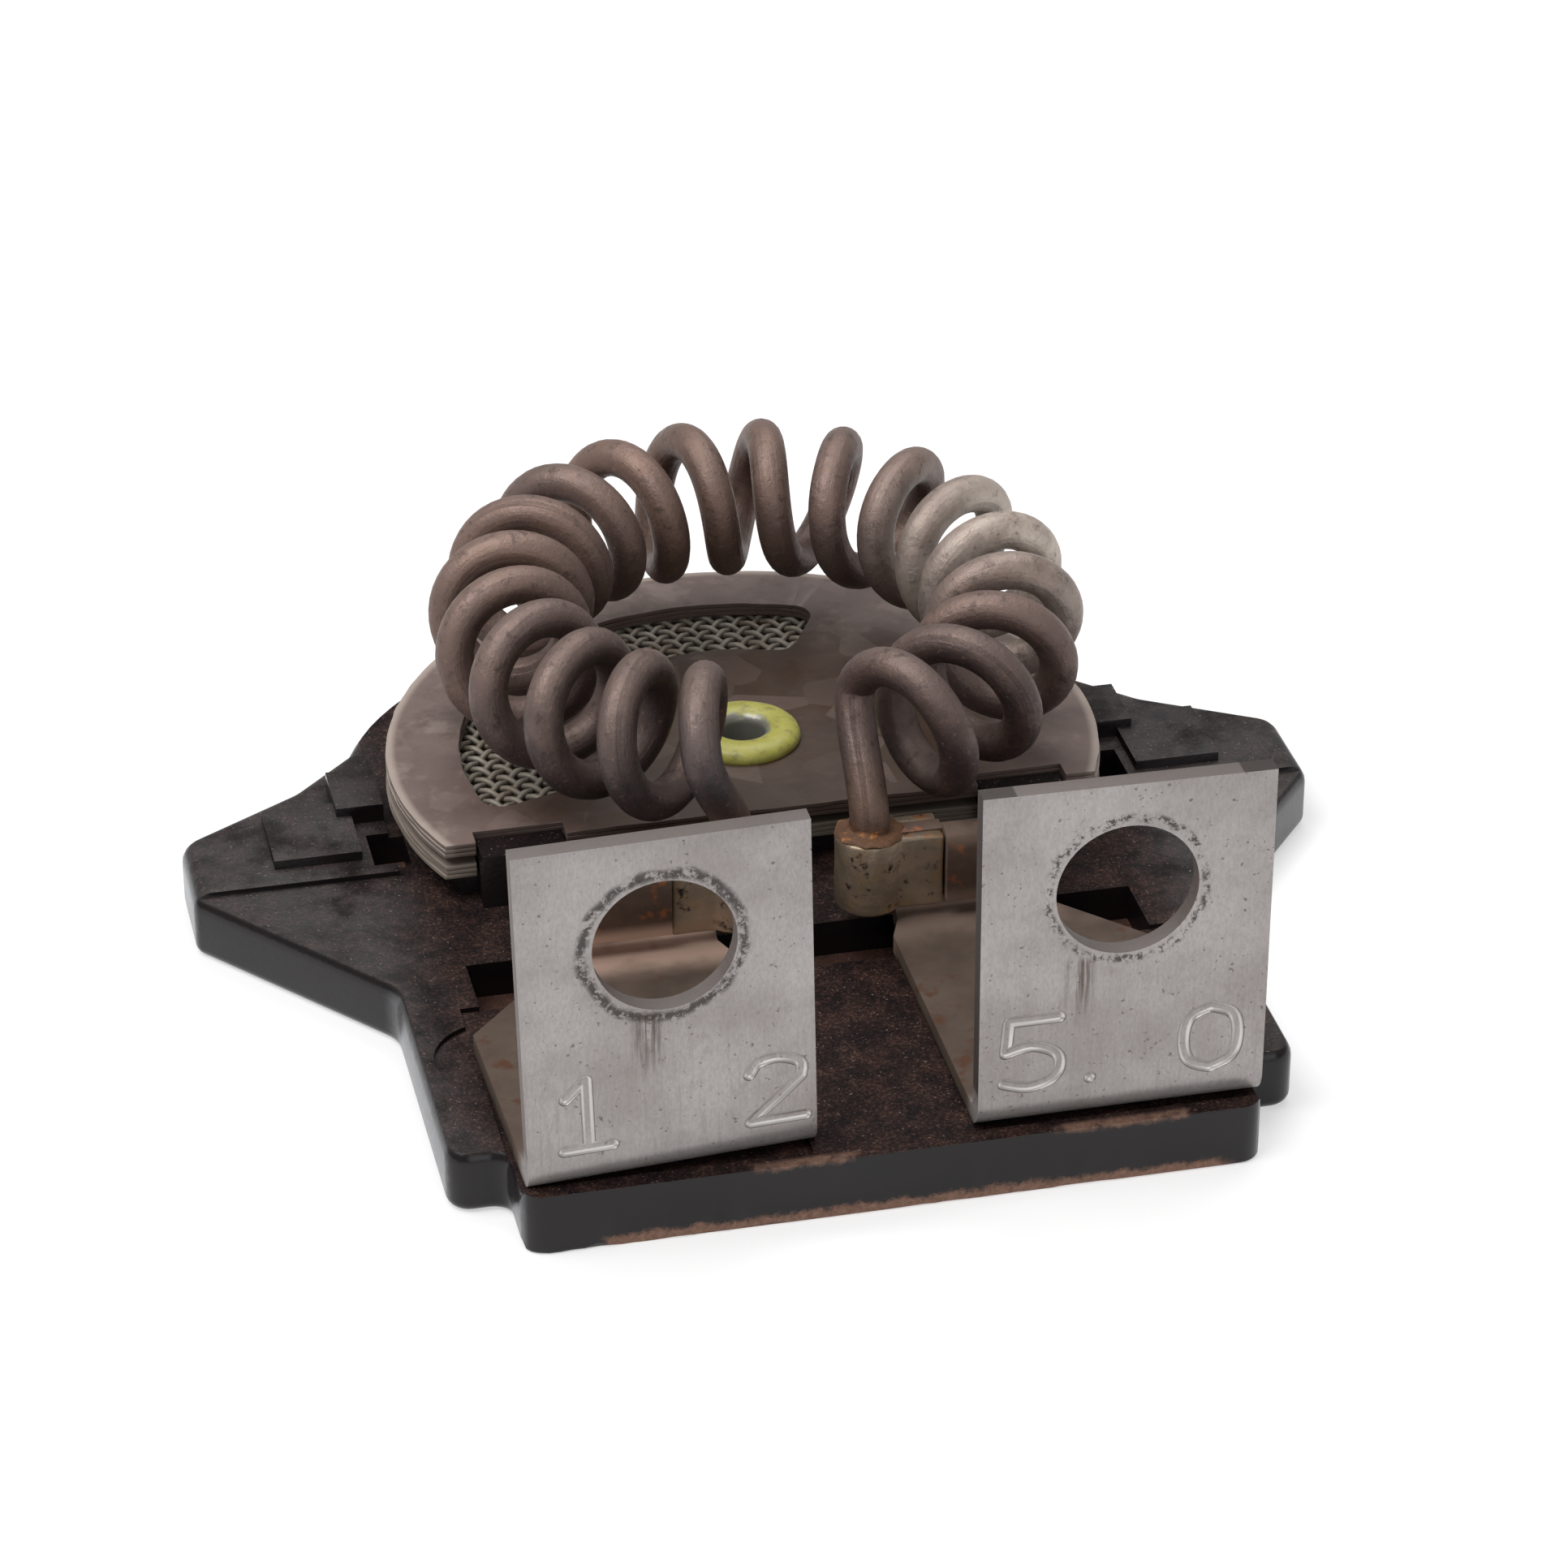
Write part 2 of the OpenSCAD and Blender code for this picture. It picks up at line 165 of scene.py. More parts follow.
def copyNode(node, name, material):
    # a merged copy of a CAD node, with flat areas joined into single faces
    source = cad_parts[node]
    mesh = source.data.copy()
    piece = addObject(name, mesh)
    work = bmesh.new()
    work.from_mesh(mesh)
    bmesh.ops.remove_doubles(work, verts=work.verts, dist=0.002 * mm)
    bmesh.ops.dissolve_limit(work, angle_limit=math.radians(1), verts=work.verts, edges=work.edges)
    work.to_mesh(mesh)
    work.free()
    mesh.materials.clear()
    mesh.materials.append(material)
    return piece


def bevelPiece(piece, width, segments, angle):
    bevel = piece.modifiers.new("edges", "BEVEL")
    bevel.width = width * mm
    bevel.segments = segments
    bevel.limit_method = "ANGLE"
    bevel.angle_limit = math.radians(angle)
    bevel.use_clamp_overlap = True
    bevel.miter_outer = "MITER_ARC"
    applyModifiers(piece)


def finishPiece(piece, node):
    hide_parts(node)
    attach(piece, "root")


def lathe(profile, centre, steps, wobble=0):
    # closed ring of [radius, height] points turned round a vertical line
    vertices, faces = [], []
    count = len(profile)
    for i in range(steps):
        a = 2 * math.pi * i / steps
        for radius, height in profile:
            swell = 1 + wobble * noise.noise(Vector((3 * math.cos(a), 3 * math.sin(a), height)))
            vertices.append((centre[0] + radius * swell * mm * math.cos(a),
                             centre[1] + radius * swell * mm * math.sin(a),
                             centre[2] + height * mm))
    for i in range(steps):
        j = (i + 1) % steps
        for k in range(count):
            n = (k + 1) % count
            faces.append((i * count + k, j * count + k, j * count + n, i * count + n))
    return vertices, faces


# materials

def mouldedPhenolic():
    # compression-moulded phenolic, brown-black: the sides keep the mould's gloss, brown dust and
    # fibres dull the upward faces, and brown filler shows where flash has chipped off the edges
    material, tree, shader, place = newMaterial("moulded phenolic", 0.42, 0, 1.4)
    add = partial(addNode, tree)
    xyz = add("SeparateXYZ", [place]).node.outputs
    face = add("NewGeometry", out="Normal")
    tilt = add("SeparateXYZ", [face]).node.outputs
    body = mottled(add, place, 4, "#0F0B0D", "#1A1415", 4)
    upward = add("MapRange", [tilt["Z"], 0.5, 0.92], interpolation_type="SMOOTHSTEP")
    # the ears are handled more than the middle, so they hold less dust
    onEar = add("MapRange", [add("Math", [xyz["X"]], operation="ABSOLUTE"), 13 * mm, 17 * mm],
        interpolation_type="SMOOTHSTEP")
    blotch = patches(add, place, 1.3, 0.38, 0.66, 6, 0.72)
    grain = patches(add, place, 0.13, 0.46, 0.66, 4, 0.75)
    dust = add("Math", [grain, 0.2, add("Math", [blotch, 0.12], operation="MULTIPLY")],
        operation="MULTIPLY_ADD")
    dust = add("Math", [add("Math", [blotch, grain], operation="MULTIPLY"), 0.3, dust],
        operation="MULTIPLY_ADD")
    dust = add("Math", [dust, add("Math", [onEar, -0.4, 1], operation="MULTIPLY_ADD")],
        operation="MULTIPLY")
    raised = add("MapRange", [xyz["Z"], plateTop + 0.7 * mm, plateTop + 1.4 * mm],
        interpolation_type="SMOOTHSTEP")
    dust = add("Math", [dust, add("Math", [raised, -0.8, 1], operation="MULTIPLY_ADD")],
        operation="MULTIPLY")
    sunken = add("MapRange", [xyz["Z"], plateTop - 0.9 * mm, plateTop - 0.1 * mm, 1, 0],
        interpolation_type="SMOOTHSTEP")
    dust = add("Math", [sunken, 0.35, dust], operation="MULTIPLY_ADD")
    dust = add("Math", [dust, upward], operation="MULTIPLY", use_clamp=True)
    colour = layOver(add, body, "#6B4D42", dust)
    motes = patches(add, place, 0.11, 0.7, 0.76, 1)
    motes = add("Math", [motes, add("Math", [upward, 0.55], operation="MULTIPLY")], operation="MULTIPLY")
    colour = layOver(add, colour, "#97837A", motes)
    # chipped flash along parts of the lower and upper edges of the front
    ragged = add("TexNoise", {"Vector": place, "Scale": perMm(0.8), "Detail": 6, "Roughness": 0.75})
    low = add("Math", [ragged, -1.0 * mm, xyz["Z"]], operation="MULTIPLY_ADD")
    lowEdge = add("MapRange", [low, -0.2 * mm, 0.06 * mm, 1, 0], interpolation_type="SMOOTHSTEP")
    high = add("Math", [ragged, -0.8 * mm, xyz["Z"]], operation="MULTIPLY_ADD")
    highEdge = add("MapRange", [high, plateTop - 0.62 * mm, plateTop - 0.36 * mm],
        interpolation_type="SMOOTHSTEP")
    nearFront = add("MapRange", [xyz["Y"], frontY + 0.3 * mm, frontY + 0.6 * mm, 1, 0],
        interpolation_type="SMOOTHSTEP")
    strayX = add("Math", [add("TexNoise", {"Vector": place, "Scale": perMm(2), "Detail": 4,
        "Roughness": 0.6}), 4 * mm, -2.0 * mm], operation="MULTIPLY_ADD")
    strayX = add("Math", [xyz["X"], strayX], operation="ADD")
    worn, fade = [], 0.8    # mm over which a chipped stretch sets in
    for edge, spans in ((lowEdge, baseShape["chipsLow"]), (highEdge, baseShape["chipsHigh"])):
        for start, end, amount in spans:
            begun = add("MapRange", [strayX, start * mm, (start + fade) * mm],
                interpolation_type="SMOOTHSTEP")
            ended = add("MapRange", [strayX, (end - fade) * mm, end * mm], interpolation_type="SMOOTHSTEP")
            left = add("Math", [amount, ended], operation="SUBTRACT")
            inside = add("Math", [begun, left], operation="MULTIPLY", use_clamp=True)
            worn.append(add("Math", [edge, inside], operation="MULTIPLY"))
    chips = worn[0]
    for spot in worn[1:]:
        chips = add("Math", [chips, spot], operation="MAXIMUM")
    chips = add("Math", [chips, nearFront], operation="MULTIPLY", use_clamp=True)
    chipColour = mottled(add, place, 0.22, "#33231E", "#A3806F", 4, 0.8)
    colour = layOver(add, colour, chipColour, chips)
    tree.links.new(colour, shader.inputs["Base Color"])
    dull = add("Math", [chips, 0.5, add("Math", [upward, 0.36], operation="MULTIPLY")],
        operation="MULTIPLY_ADD")
    dull = add("Math", [add("TexNoise", {"Vector": place, "Scale": perMm(0.5), "Detail": 3}), 0.16, dull],
        operation="MULTIPLY_ADD")
    tree.links.new(add("Math", [dull, 0.14], operation="ADD", use_clamp=True), shader.inputs["Roughness"])
    # dust and chips take the shine off, less so in patches on the handled ears
    rubbed = add("Math", [patches(add, place, 2.6, 0.25, 0.6, 4, 0.6), 0.85], operation="MULTIPLY")
    rubbed = add("Math", [onEar, rubbed], operation="MULTIPLY")
    dulled = add("Math", [0.36, rubbed], operation="SUBTRACT")
    matt = add("Math", [add("Math", [upward, chips], operation="MAXIMUM"), dulled], operation="MULTIPLY")
    tree.links.new(add("Math", [0.5, matt], operation="SUBTRACT"), shader.inputs["Specular IOR Level"])
    # polished where the sides were gripped
    sideways = add("MapRange", [add("Math", [tilt["X"]], operation="ABSOLUTE"), 0.75, 0.95],
        interpolation_type="SMOOTHSTEP")
    gloss = add("Math", [patches(add, place, 0.5, 0.3, 0.7, 5, 0.75), 0.5], operation="MULTIPLY")
    gloss = add("Math", [sideways, gloss], operation="MULTIPLY")
    tree.links.new(gloss, shader.inputs["Coat Weight"])
    shader.inputs["Coat Roughness"].default_value = 0.2
    shader.inputs["Coat Tint"].default_value = hexColour("#E3E8F4")
    fibres = add("TexNoise", {"Vector": place, "Scale": perMm(0.2), "Detail": 4, "Roughness": 0.65})
    relief = add("Math", [fibres, add("Math", [upward, 0.6, 0.1], operation="MULTIPLY_ADD")],
        operation="MULTIPLY")
    relief = add("Math", [chips, add("TexNoise", {"Vector": place, "Scale": perMm(0.3), "Detail": 4,
        "Roughness": 0.7}), relief], operation="MULTIPLY_ADD")
    tree.links.new(add("Bump", {"Height": relief, "Distance": 0.1 * mm, "Strength": 0.8}),
        shader.inputs["Normal"])
    return material


def terminalSteel(side):
    # cold-rolled steel with a thin zinc plate: satin grey, with die marks up the tab,
    # black screw-head grime round the hole and brown heat stain from the coil behind
    material, tree, shader, place = newMaterial("zinc plated steel " + side, 0.36, 1)
    add = partial(addNode, tree)
    xyz = add("SeparateXYZ", [place]).node.outputs
    holeX = terminals["holeX"] * mm * (1 if side == "right" else -1)
    holeZ = plateTop + terminals["holeZ"] * mm
    fromHole = add("CombineXYZ", {0: add("Math", [xyz["X"], holeX], operation="SUBTRACT"),
        2: add("Math", [xyz["Z"], holeZ], operation="SUBTRACT")})
    away = add("VectorMath", [fromHole], out="Value", operation="LENGTH")
    cloud = add("TexNoise", {"Vector": place, "Scale": perMm(3.2), "Detail": 4})
    clean = layOver(add, "#96908E", "#A8A3A1", add("MapRange", [cloud, 0.3, 0.7],
        interpolation_type="SMOOTHSTEP"))
    # drawn streaks, strongest on the lower half of the tab
    streak = add("TexNoise", {"Vector": add("Mapping", {"Vector": place, "Scale": (1, 1, 0.06)}),
        "Scale": perMm(0.16), "Detail": 4, "Roughness": 0.6})
    lowHalf = add("MapRange", [xyz["Z"], plateTop + 2.5 * mm, plateTop + 8 * mm, 1, 0],
        interpolation_type="SMOOTHSTEP")
    streaks = add("Math", [add("MapRange", [streak, 0.45, 0.75], interpolation_type="SMOOTHSTEP"),
        add("Math", [lowHalf, 0.28, 0.06], operation="MULTIPLY_ADD")], operation="MULTIPLY")
    clean = layOver(add, clean, "#857B77", streaks)
    specks = patches(add, place, 0.2, 0.66, 0.74, 2)
    clean = layOver(add, clean, "#574A45", specks, 0.7)
    grain = patches(add, add("Mapping", {"Vector": place, "Scale": (1, 1, 0.45)}), 0.11, 0.35, 0.65, 3, 0.7)
    clean = layOver(add, clean, "#6F6764", grain, 0.22)
    film = patches(add, place, 1.3, 0.55, 0.72, 5, 0.7)
    clean = layOver(add, clean, "#7D726C", film, 0.28)
    # broken ring where the screw head has rubbed
    screwHead = terminals["ringR"] * mm
    wander = add("Math", [add("TexNoise", {"Vector": place, "Scale": perMm(1.1), "Detail": 4}), 0.5 * mm,
        -0.25 * mm], operation="MULTIPLY_ADD")
    ring = add("Math", [add("Math", [away, wander], operation="ADD"), screwHead], operation="SUBTRACT")
    ring = add("Math", [ring], operation="ABSOLUTE")
    ring = add("MapRange", [ring, 0.06 * mm, terminals["ringW"][side] * mm, 1, 0],
        interpolation_type="SMOOTHSTEP")
    sparse = terminals["broken"][side]
    broken = patches(add, place, 0.36, sparse - 0.05, sparse + 0.05, 5, 0.8)
    grime = add("Math", [ring, broken], operation="MULTIPLY")
    clean = layOver(add, clean, "#3A3431", grime, 0.85)
    # smear running down from the hole
    smearX = add("Math", [add("Math", [xyz["X"], holeX + terminals["smear"][side] * mm],
        operation="SUBTRACT")], operation="ABSOLUTE")
    smearX = add("MapRange", [smearX, 0.2 * mm, 0.75 * mm, 1, 0], interpolation_type="SMOOTHSTEP")
    smearZ = band(add, xyz["Z"], holeZ - 6 * mm, holeZ - 3.4 * mm, holeZ - 2.9 * mm, holeZ - 2.5 * mm)
    smear = add("Math", [smearX, smearZ], operation="MULTIPLY")
    streaky = add("MapRange", [streak, 0.4, 0.62], interpolation_type="SMOOTHSTEP")
    smear = add("Math", [smear, streaky], operation="MULTIPLY")
    clean = layOver(add, clean, "#4A3B33", smear, 0.8)
    # stamped grooves get a painted highlight inside, with a painted shade line along their rims
    groove = add("Attribute", out="Fac", attribute_name="stamped")
    rim = band(add, groove, 0.01, 0.06, 0.1, 0.25)
    clean = layOver(add, clean, "#564C48", rim, 0.4)
    grooveHighlight = band(add, groove, 0.15, 0.35, 0.7, 0.95)
    clean = layOver(add, clean, "#DAD6D2", grooveHighlight, 0.85)
    # punched and sheared edges are brown and grainy
    face = add("NewGeometry", out="Normal")
    tilt = add("SeparateXYZ", [face]).node.outputs
    onEdge = add("MapRange", [add("Math", [tilt["Y"]], operation="ABSOLUTE"), 0.25, 0.75, 1, 0],
        interpolation_type="SMOOTHSTEP")
    upright = add("MapRange", [xyz["Z"], plateTop + 1.2 * mm, plateTop + 1.6 * mm],
        interpolation_type="SMOOTHSTEP")
    edgeColour = mottled(add, place, 0.2, "#3C322D", "#756861", 3, 0.7)
    # painted light: edges that face upward are made lighter
    edgeColour = layOver(add, edgeColour, "#6E6764", add("MapRange", [tilt["Z"], 0.5, 0.8],
        interpolation_type="SMOOTHSTEP"), 0.6)
    sheared = add("Math", [add("Math", [xyz["X"], holeX], operation="SUBTRACT")], operation="ABSOLUTE")
    sheared = add("MapRange", [sheared, 4.1 * mm, 4.2 * mm], interpolation_type="SMOOTHSTEP")
    edgeColour = layOver(add, edgeColour, terminals["sideEdge"][side], sheared)
    clean = layOver(add, clean, edgeColour, add("Math", [onEdge, upright], operation="MULTIPLY"), 0.9)
    # painted highlight along the front corners, kept off the stamped grooves
    facing = add("Math", [tilt["Y"], -1], operation="MULTIPLY")
    corner = band(add, facing, 0.35, 0.6, 0.86, 0.95)
    corner = add("Math", [corner, upright], operation="MULTIPLY")
    unstamped = add("MapRange", [groove, 0.001, 0.01, 1, 0], interpolation_type="SMOOTHSTEP")
    corner = add("Math", [corner, unstamped], operation="MULTIPLY")
    clean = layOver(add, clean, "#DEDAD7", corner, 0.8)
    # behind the tab the plate is browned by heat
    behind = add("MapRange", [xyz["Y"], frontY + 1.2 * mm, frontY + 2.6 * mm],
        interpolation_type="SMOOTHSTEP")
    rust = mottled(add, place, 2.2, "#453830", "#74655A", 5, 0.6)
    rust = layOver(add, rust, "#5E4030", patches(add, place, 1.2, 0.54, 0.7, 4, 0.6))
    # the upright lug is redder, with flux burnt orange beside the crimp
    lugY = add("MapRange", [xyz["Y"], frontY + 13 * mm, frontY + 14.4 * mm],
        interpolation_type="SMOOTHSTEP")
    lugZ = add("MapRange", [xyz["Z"], plateTop + 1.4 * mm, plateTop + 2 * mm],
        interpolation_type="SMOOTHSTEP")
    onLug = add("Math", [lugY, lugZ], operation="MULTIPLY")
    lugColour = mottled(add, place, 1.3, "#41312A", "#7D685B", 5, 0.65)
    lugColour = layOver(add, lugColour, "#A8653D", patches(add, place, 0.9, 0.56, 0.68, 4, 0.6), 0.8)
    rust = layOver(add, rust, lugColour, onLug)
    # painted highlight: a pale beige band across the inner bend of the leg, below the lug
    bendBand = add("MapRange", [xyz["Y"], frontY + 12.6 * mm, frontY + 14.2 * mm],
        interpolation_type="SMOOTHSTEP")
    bendHighlight = add("Math", [1, onLug], operation="SUBTRACT")
    cloudy = add("MapRange", [cloud, 0.25, 0.5], interpolation_type="SMOOTHSTEP")
    bendHighlight = add("Math", [cloudy, bendHighlight], operation="MULTIPLY")
    bendHighlight = add("Math", [bendBand, bendHighlight], operation="MULTIPLY")
    rust = layOver(add, rust, "#C4A999", bendHighlight, terminals["bendHighlightStrength"][side])
    colour = layOver(add, clean, rust, behind)
    tree.links.new(colour, shader.inputs["Base Color"])
    metal = add("Math", [add("Math", [grime, smear], operation="MAXIMUM"), -0.5, 1],
        operation="MULTIPLY_ADD")
    metal = add("Math", [behind, -0.4, metal], operation="MULTIPLY_ADD")
    metal = add("Math", [add("Math", [onEdge, upright], operation="MULTIPLY"), -0.75, metal],
        operation="MULTIPLY_ADD", use_clamp=True)
    # the foot of the tab is dulled, so it stays pale beside the dark moulding
    foot = add("MapRange", [xyz["Z"], plateTop + 0.5 * mm, plateTop + 1.8 * mm, 1, 0],
        interpolation_type="SMOOTHSTEP")
    foot = add("Math", [foot, add("Math", [1, behind], operation="SUBTRACT")], operation="MULTIPLY")
    metal = add("Math", [foot, -0.6, metal], operation="MULTIPLY_ADD", use_clamp=True)
    tree.links.new(metal, shader.inputs["Metallic"])
    rough = add("Math", [add("TexNoise", {"Vector": place, "Scale": perMm(0.7), "Detail": 4}), 0.16, 0.3],
        operation="MULTIPLY_ADD")
    rough = add("Math", [add("Math", [grime, onEdge], operation="MAXIMUM"), 0.3, rough],
        operation="MULTIPLY_ADD")
    rough = add("Math", [behind, 0.12, rough], operation="MULTIPLY_ADD", use_clamp=True)
    tree.links.new(rough, shader.inputs["Roughness"])
    relief = add("Math", [add("TexNoise", {"Vector": place, "Scale": perMm(0.3), "Detail": 4,
        "Roughness": 0.6}), 0.5, add("Math", [streak, 0.2], operation="MULTIPLY")],
        operation="MULTIPLY_ADD")
    tree.links.new(add("Bump", {"Height": relief, "Distance": 0.012 * mm, "Strength": 0.7}),
        shader.inputs["Normal"])
    return material


def oxidisedWire():
    # drawn nickel-chromium resistance wire with a service oxide: brown-grey, satin,
    # blue-grey where it got hottest, with a painted highlight as a pale patch on the right-hand turns
    material, tree, shader, place = newMaterial("oxidised nickel-chromium wire", 0.42, 0.55)
    add = partial(addNode, tree)
    face = add("NewGeometry", out="Normal")
    tilt = add("SeparateXYZ", [face], out="Z")
    body = mottled(add, place, 2.2, "#3F3435", "#7A655E", 6, 0.65)
    body = layOver(add, body, "#7C645A", patches(add, place, 5, 0.45, 0.65), 0.7)
    uneven = add("Math", [patches(add, place, 1.6, 0.35, 0.62, 5, 0.65), 0.5, 0.5],
        operation="MULTIPLY_ADD")
    for point, inner, outer, shade, amount in coil["zones"]:
        spot = (point[0] * mm, frontY + point[1] * mm, plateTop + point[2] * mm)
        near = add("Math", [nearPoint(add, place, spot, inner, outer), uneven], operation="MULTIPLY")
        body = layOver(add, body, shade, near, amount)
    # painted light and shade: faces turned up are lighter, faces turned down darker
    upward = add("MapRange", [tilt, -0.2, 0.9], interpolation_type="SMOOTHSTEP")
    body = layOver(add, body, "#A89288", upward, 0.3)
    undersideShade = add("MapRange", [tilt, -0.9, 0.1, 1, 0], interpolation_type="SMOOTHSTEP")
    body = layOver(add, body, "#2A2122", undersideShade, 0.4)
    scale = patches(add, place, 0.7, 0.54, 0.66, 6, 0.75)
    body = layOver(add, body, "#372A29", scale, 0.5)
    specks = patches(add, place, 0.24, 0.6, 0.7, 4, 0.7)
    body = layOver(add, body, "#A07B68", specks, 0.55)
    tree.links.new(body, shader.inputs["Base Color"])
    rough = add("Math", [add("TexNoise", {"Vector": place, "Scale": perMm(0.8), "Detail": 5,
        "Roughness": 0.65}), 0.5, 0.25], operation="MULTIPLY_ADD")
    tree.links.new(rough, shader.inputs["Roughness"])
    # fine die lines follow the wire, from the sweep's own attributes
    around = add("Attribute", out="Fac", attribute_name="wireAround")
    along = add("Attribute", out="Fac", attribute_name="wireAlong")
    spiral = add("CombineXYZ", [add("Math", [around, 26], operation="MULTIPLY"),
        add("Math", [along, perMm(3)], operation="MULTIPLY")])
    lines = add("TexNoise", {"Scale": 1.0, "Detail": 2, "Vector": spiral})
    relief = add("Math", [lines, 0.5, add("TexNoise", {"Vector": place, "Scale": perMm(0.35), "Detail": 5,
        "Roughness": 0.7})], operation="MULTIPLY_ADD")
    tree.links.new(add("Bump", {"Height": relief, "Distance": 0.065 * mm, "Strength": 0.85}),
        shader.inputs["Normal"])
    return material


def pressedMica(name, dark):
    # built-up mica pressed with shellac: pinkish brown flakes with a soft pearl sheen,
    # browned near the middle and pale where the plies part at the rim
    material, tree, shader, place = newMaterial(name, 0.45, 0, 1.56)
    add = partial(addNode, tree)
    flat = add("Mapping", {"Vector": place, "Scale": (1, 1, 0.2)})
    centred = add("VectorMath", [place, discAxis], operation="SUBTRACT")
    flatPlace = add("VectorMath", [centred, (1, 1, 0)], operation="MULTIPLY")
    away = add("VectorMath", [flatPlace], out="Value", operation="LENGTH")
    wander = add("Math", [add("TexNoise", {"Vector": flat, "Scale": perMm(3), "Detail": 4}), 5 * mm,
        -2.5 * mm], operation="MULTIPLY_ADD")
    outward = add("MapRange", [add("Math", [away, wander], operation="ADD"), 7.5 * mm, 13.6 * mm],
        interpolation_type="SMOOTHSTEP")
    middle = mottled(add, flat, 2.2, "#2A190F", "#46301F", 5, 0.6)
    rim = mottled(add, flat, 1.4, "#584640", "#7F6B64", 5, 0.6)
    colour = layOver(add, middle, rim, outward)
    flakes = add("TexVoronoi", {"Scale": perMm(1.7), "Randomness": 1.0, "Vector": flat}, out="Color")
    tone = add("SeparateColor", [flakes])
    colour = layOver(add, colour, "#8C7A73", add("MapRange", [tone, 0.55, 0.9],
        interpolation_type="SMOOTHSTEP"), 0.2)
    stain = patches(add, flat, 2.6, 0.54, 0.7, 5, 0.65)
    colour = layOver(add, colour, "#43342B", stain, 0.55)
    dusty = add("Math", [patches(add, flat, 1.8, 0.5, 0.66, 6, 0.7), 0.4], operation="MULTIPLY")
    colour = layOver(add, colour, "#9A8A82", add("Math", [dusty, outward], operation="MULTIPLY"))
    edge = add("MapRange", [away, 13.9 * mm, 14.25 * mm], interpolation_type="SMOOTHSTEP")
    colour = layOver(add, colour, "#C0B1A6", edge, 0.6)
    face = add("NewGeometry", out="Normal")
    tilt = add("SeparateXYZ", [face], out="Z")
    cutEdge = add("MapRange", [add("Math", [tilt], operation="ABSOLUTE"), 0.3, 0.7, 1, 0],
        interpolation_type="SMOOTHSTEP")
    colour = layOver(add, colour, "#5B4F49", cutEdge, 0.75)
    if dark:
        colour = add("Mix", {0: 0.7, 6: colour, 7: "#81776C"}, out=2, data_type="RGBA")
    tree.links.new(colour, shader.inputs["Base Color"])
    rough = add("Math", [add("TexNoise", {"Vector": flat, "Scale": perMm(1.3), "Detail": 4}), 0.35, 0.28],
        operation="MULTIPLY_ADD")
    tree.links.new(rough, shader.inputs["Roughness"])
    relief = add("Math", [tone, 0.25, add("TexNoise", {"Vector": flat, "Scale": perMm(0.6), "Detail": 5,
        "Roughness": 0.6})], operation="MULTIPLY_ADD")
    tree.links.new(add("Bump", {"Height": relief, "Distance": 0.03 * mm, "Strength": 0.6}),
        shader.inputs["Normal"])
    return material


def wovenScreen():
    # plain-weave wire cloth, dull grey-green, paler towards the tops of the knuckles
    material, tree, shader, place = newMaterial("woven wire cloth", 0.6, 0.3)
    add = partial(addNode, tree)
    xyz = add("SeparateXYZ", [place], out="Z")
    screenLow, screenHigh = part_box("mesh_screen")
    raised = add("MapRange", [xyz, screenLow.z + 0.22 * mm, screenHigh.z], interpolation_type="SMOOTHSTEP")
    colour = layOver(add, "#878076", "#A39B8E", raised)
    colour = layOver(add, colour, "#8A7E70", patches(add, place, 1.5, 0.45, 0.7))
    tree.links.new(colour, shader.inputs["Base Color"])
    tree.links.new(add("Bump", {"Height": add("TexNoise", {"Vector": place, "Scale": perMm(0.12),
        "Detail": 3}), "Distance": 0.02 * mm, "Strength": 0.8}), shader.inputs["Normal"])
    return material


def yellowPaint():
    # brushed marking enamel over a brass eyelet, dusty and thin on the crown
    material, tree, shader, place = newMaterial("yellow marking enamel", 0.4, 0, 1.5)
    add = partial(addNode, tree)
    centred = add("VectorMath", [place, discAxis], operation="SUBTRACT")
    flatPlace = add("VectorMath", [centred, (1, 1, 0)], operation="MULTIPLY")
    away = add("VectorMath", [flatPlace], out="Value", operation="LENGTH")
    paint = mottled(add, place, 0.9, "#96923F", "#B7B35C", 4)
    thin = patches(add, place, 0.5, 0.5, 0.66, 5, 0.7)
    paint = layOver(add, paint, "#7F7A48", thin, 0.7)
    bare = add("MapRange", [add("Math",
        [add("TexNoise", {"Vector": place, "Scale": perMm(0.5), "Detail": 3}), 0.5 * mm, away],
        operation="MULTIPLY_ADD"), 1.25 * mm, 1.5 * mm, 1, 0], interpolation_type="SMOOTHSTEP")
    colour = layOver(add, paint, "#8E8D84", bare)
    tree.links.new(colour, shader.inputs["Base Color"])
    tree.links.new(add("Math", [bare, 0.6], operation="MULTIPLY"), shader.inputs["Metallic"])
    tree.links.new(add("Bump", {"Height": add("TexNoise", {"Vector": place, "Scale": perMm(0.4),
        "Detail": 4}), "Distance": 0.04 * mm, "Strength": 0.7}), shader.inputs["Normal"])
    return material


